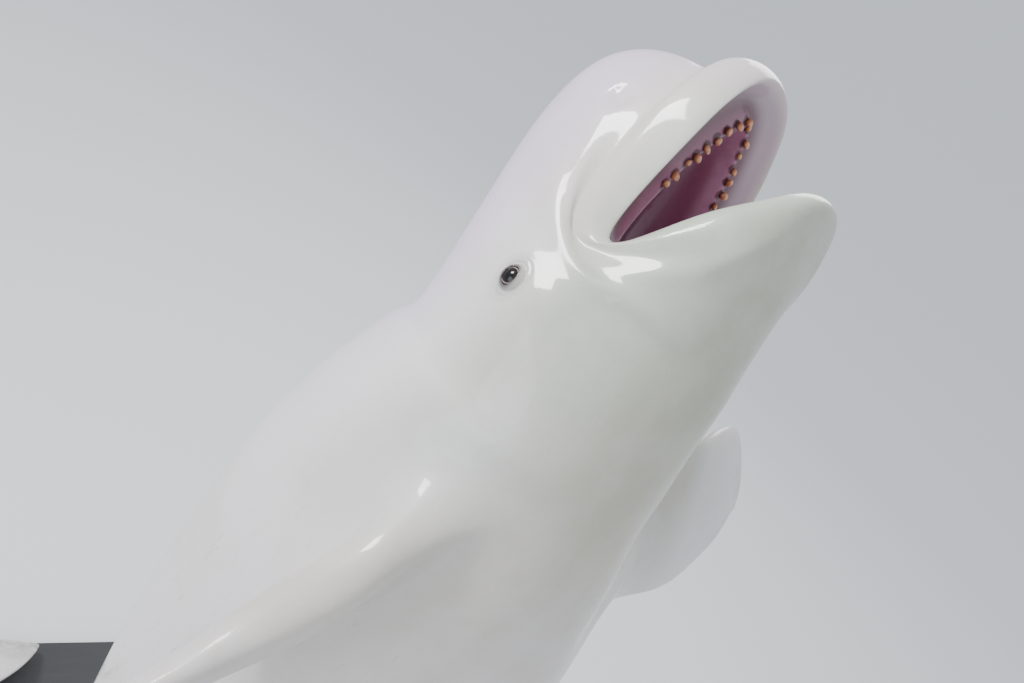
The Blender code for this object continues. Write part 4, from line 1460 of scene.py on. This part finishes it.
@dataclass
class Studio:
    """A pale floor, a plain background, soft lights and the camera."""

    floor_size: float = 600.0
    floor_colour: Colour = (0.93, 0.94, 0.95)
    floor_roughness: float = 0.8
    lamps: tuple[Lamp, ...] = (
        Lamp("key", (-2.4, 1.6, 6.2), 1.2, 240, (1.0, 0.98, 0.99)),
        Lamp("fill", (-4.2, -1.8, 4.0), 2.6, 60, (0.92, 0.96, 1.0)),
        Lamp("rim", (3.4, 2.6, 4.6), 2.4, 110, (1.0, 0.97, 0.93)),
    )
    lamp_aim: Point = (0.0, -0.4, 3.0)
    sky: Colour = (0.86, 0.90, 0.95)
    sky_strength: float = 0.95
    camera_place: Point = (-0.5544, -1.0199, 3.5817)
    azimuth: float = math.radians(-40.908)
    elevation: float = math.radians(34.01)
    roll: float = math.radians(36.268)
    lens: float = 33.725
    sensor: float = 36.0
    nearest: float = 0.02

    def floor(self) -> bpy.types.Object:
        """Makes the floor."""
        bpy.ops.object.select_all(action="DESELECT")
        bpy.ops.mesh.primitive_plane_add(size=self.floor_size)
        floor = bpy.context.object
        floor.name = "studio_floor"
        nodes = Nodes.new("studio_floor")
        nodes.set(Base_Color=seen(*self.floor_colour), Roughness=self.floor_roughness)
        floor.data.materials.append(nodes.material)
        return floor

    def lights(self) -> None:
        """Adds the lamps and a pale world."""
        for lamp in self.lamps:
            lamp.add(self.lamp_aim)
        world = bpy.data.worlds.new("studio")
        world.use_nodes = True
        background = world.node_tree.nodes["Background"]
        background.inputs[0].default_value = (*self.sky, 1)
        background.inputs[1].default_value = self.sky_strength
        bpy.context.scene.world = world

    def camera(self) -> None:
        """Adds the camera at the photograph's place."""
        back = Vector(
            (
                math.sin(self.azimuth) * math.cos(self.elevation),
                -math.cos(self.azimuth) * math.cos(self.elevation),
                math.sin(self.elevation),
            )
        )
        level = Vector((0, 0, 1)).cross(back).normalized()
        above = back.cross(level)
        right = level * math.cos(self.roll) + above * math.sin(self.roll)
        axes = Matrix((right, back.cross(right), back)).transposed()
        lens = bpy.data.cameras.new("camera")
        lens.sensor_width = self.sensor
        lens.lens = self.lens
        lens.clip_start = self.nearest
        holder = bpy.data.objects.new("camera", lens)
        bpy.context.scene.collection.objects.link(holder)
        holder.matrix_world = Matrix.Translation(self.camera_place) @ axes.to_4x4()
        bpy.context.scene.camera = holder


def dressed(piece: bpy.types.Object, material: bpy.types.Material) -> bpy.types.Object:
    """Gives a piece its material and its slot, and lets it ride on the model."""
    piece.data.materials.clear()
    piece.data.materials.append(material)
    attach(piece, "root")
    log.info("%s: %d faces", piece.name, len(piece.data.polygons))
    return piece


# A soft dent on each side of the melon's foot
FOLDS = tuple(
    Fold(((0.150, side * 0.128, 0.120), (0.136, side * 0.122, 0.090)), 0.016, -0.0050)
    for side in (-1, 1)
)

# The stand: a dark board and steel rods
BOARD = StandFinish("board", (0.030, 0.032, 0.035), (0.045, 0.047, 0.050), 0.38, 0.0, (1, 8, 1), 6)
STEEL = StandFinish("steel", (0.50, 0.51, 0.52), (0.62, 0.63, 0.64), 0.22, 1.0, (60, 60, 2), 2)


def main() -> None:
    """Builds the whale, its stand and the studio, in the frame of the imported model."""
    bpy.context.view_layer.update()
    form, pose, eye, blowhole = WhaleForm(), Pose(), EyeForm(), BlowholeForm()
    skin = Skin(form, pose, eye, blowhole, folds=FOLDS).build()
    dressed(skin, SkinFinish().material())
    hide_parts(*FLESH)
    for side, node in ((Side.LEFT, "eye_left"), (Side.RIGHT, "eye_right")):
        ball = dressed(Eyeball(eye, pose, side).build(), EyeFinish().material())
        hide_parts(node)
    for row in TOOTH_ROWS:
        dressed(Teeth(form, pose, row).build(), ToothFinish().material(row.name))
    tongue = dressed(Tongue(form, pose).build(), TongueFinish().material())
    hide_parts("tongue")
    for node, finish in (("stand_base", BOARD), ("stand_rod_front", STEEL), ("stand_rod_rear", STEEL)):
        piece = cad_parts[node]
        piece.data.materials.clear()
        piece.data.materials.append(finish.material())
    studio = Studio()
    studio.floor()
    studio.lights()
    studio.camera()


if __name__ == "__main__":
    logging.basicConfig(level=logging.INFO)
    main()
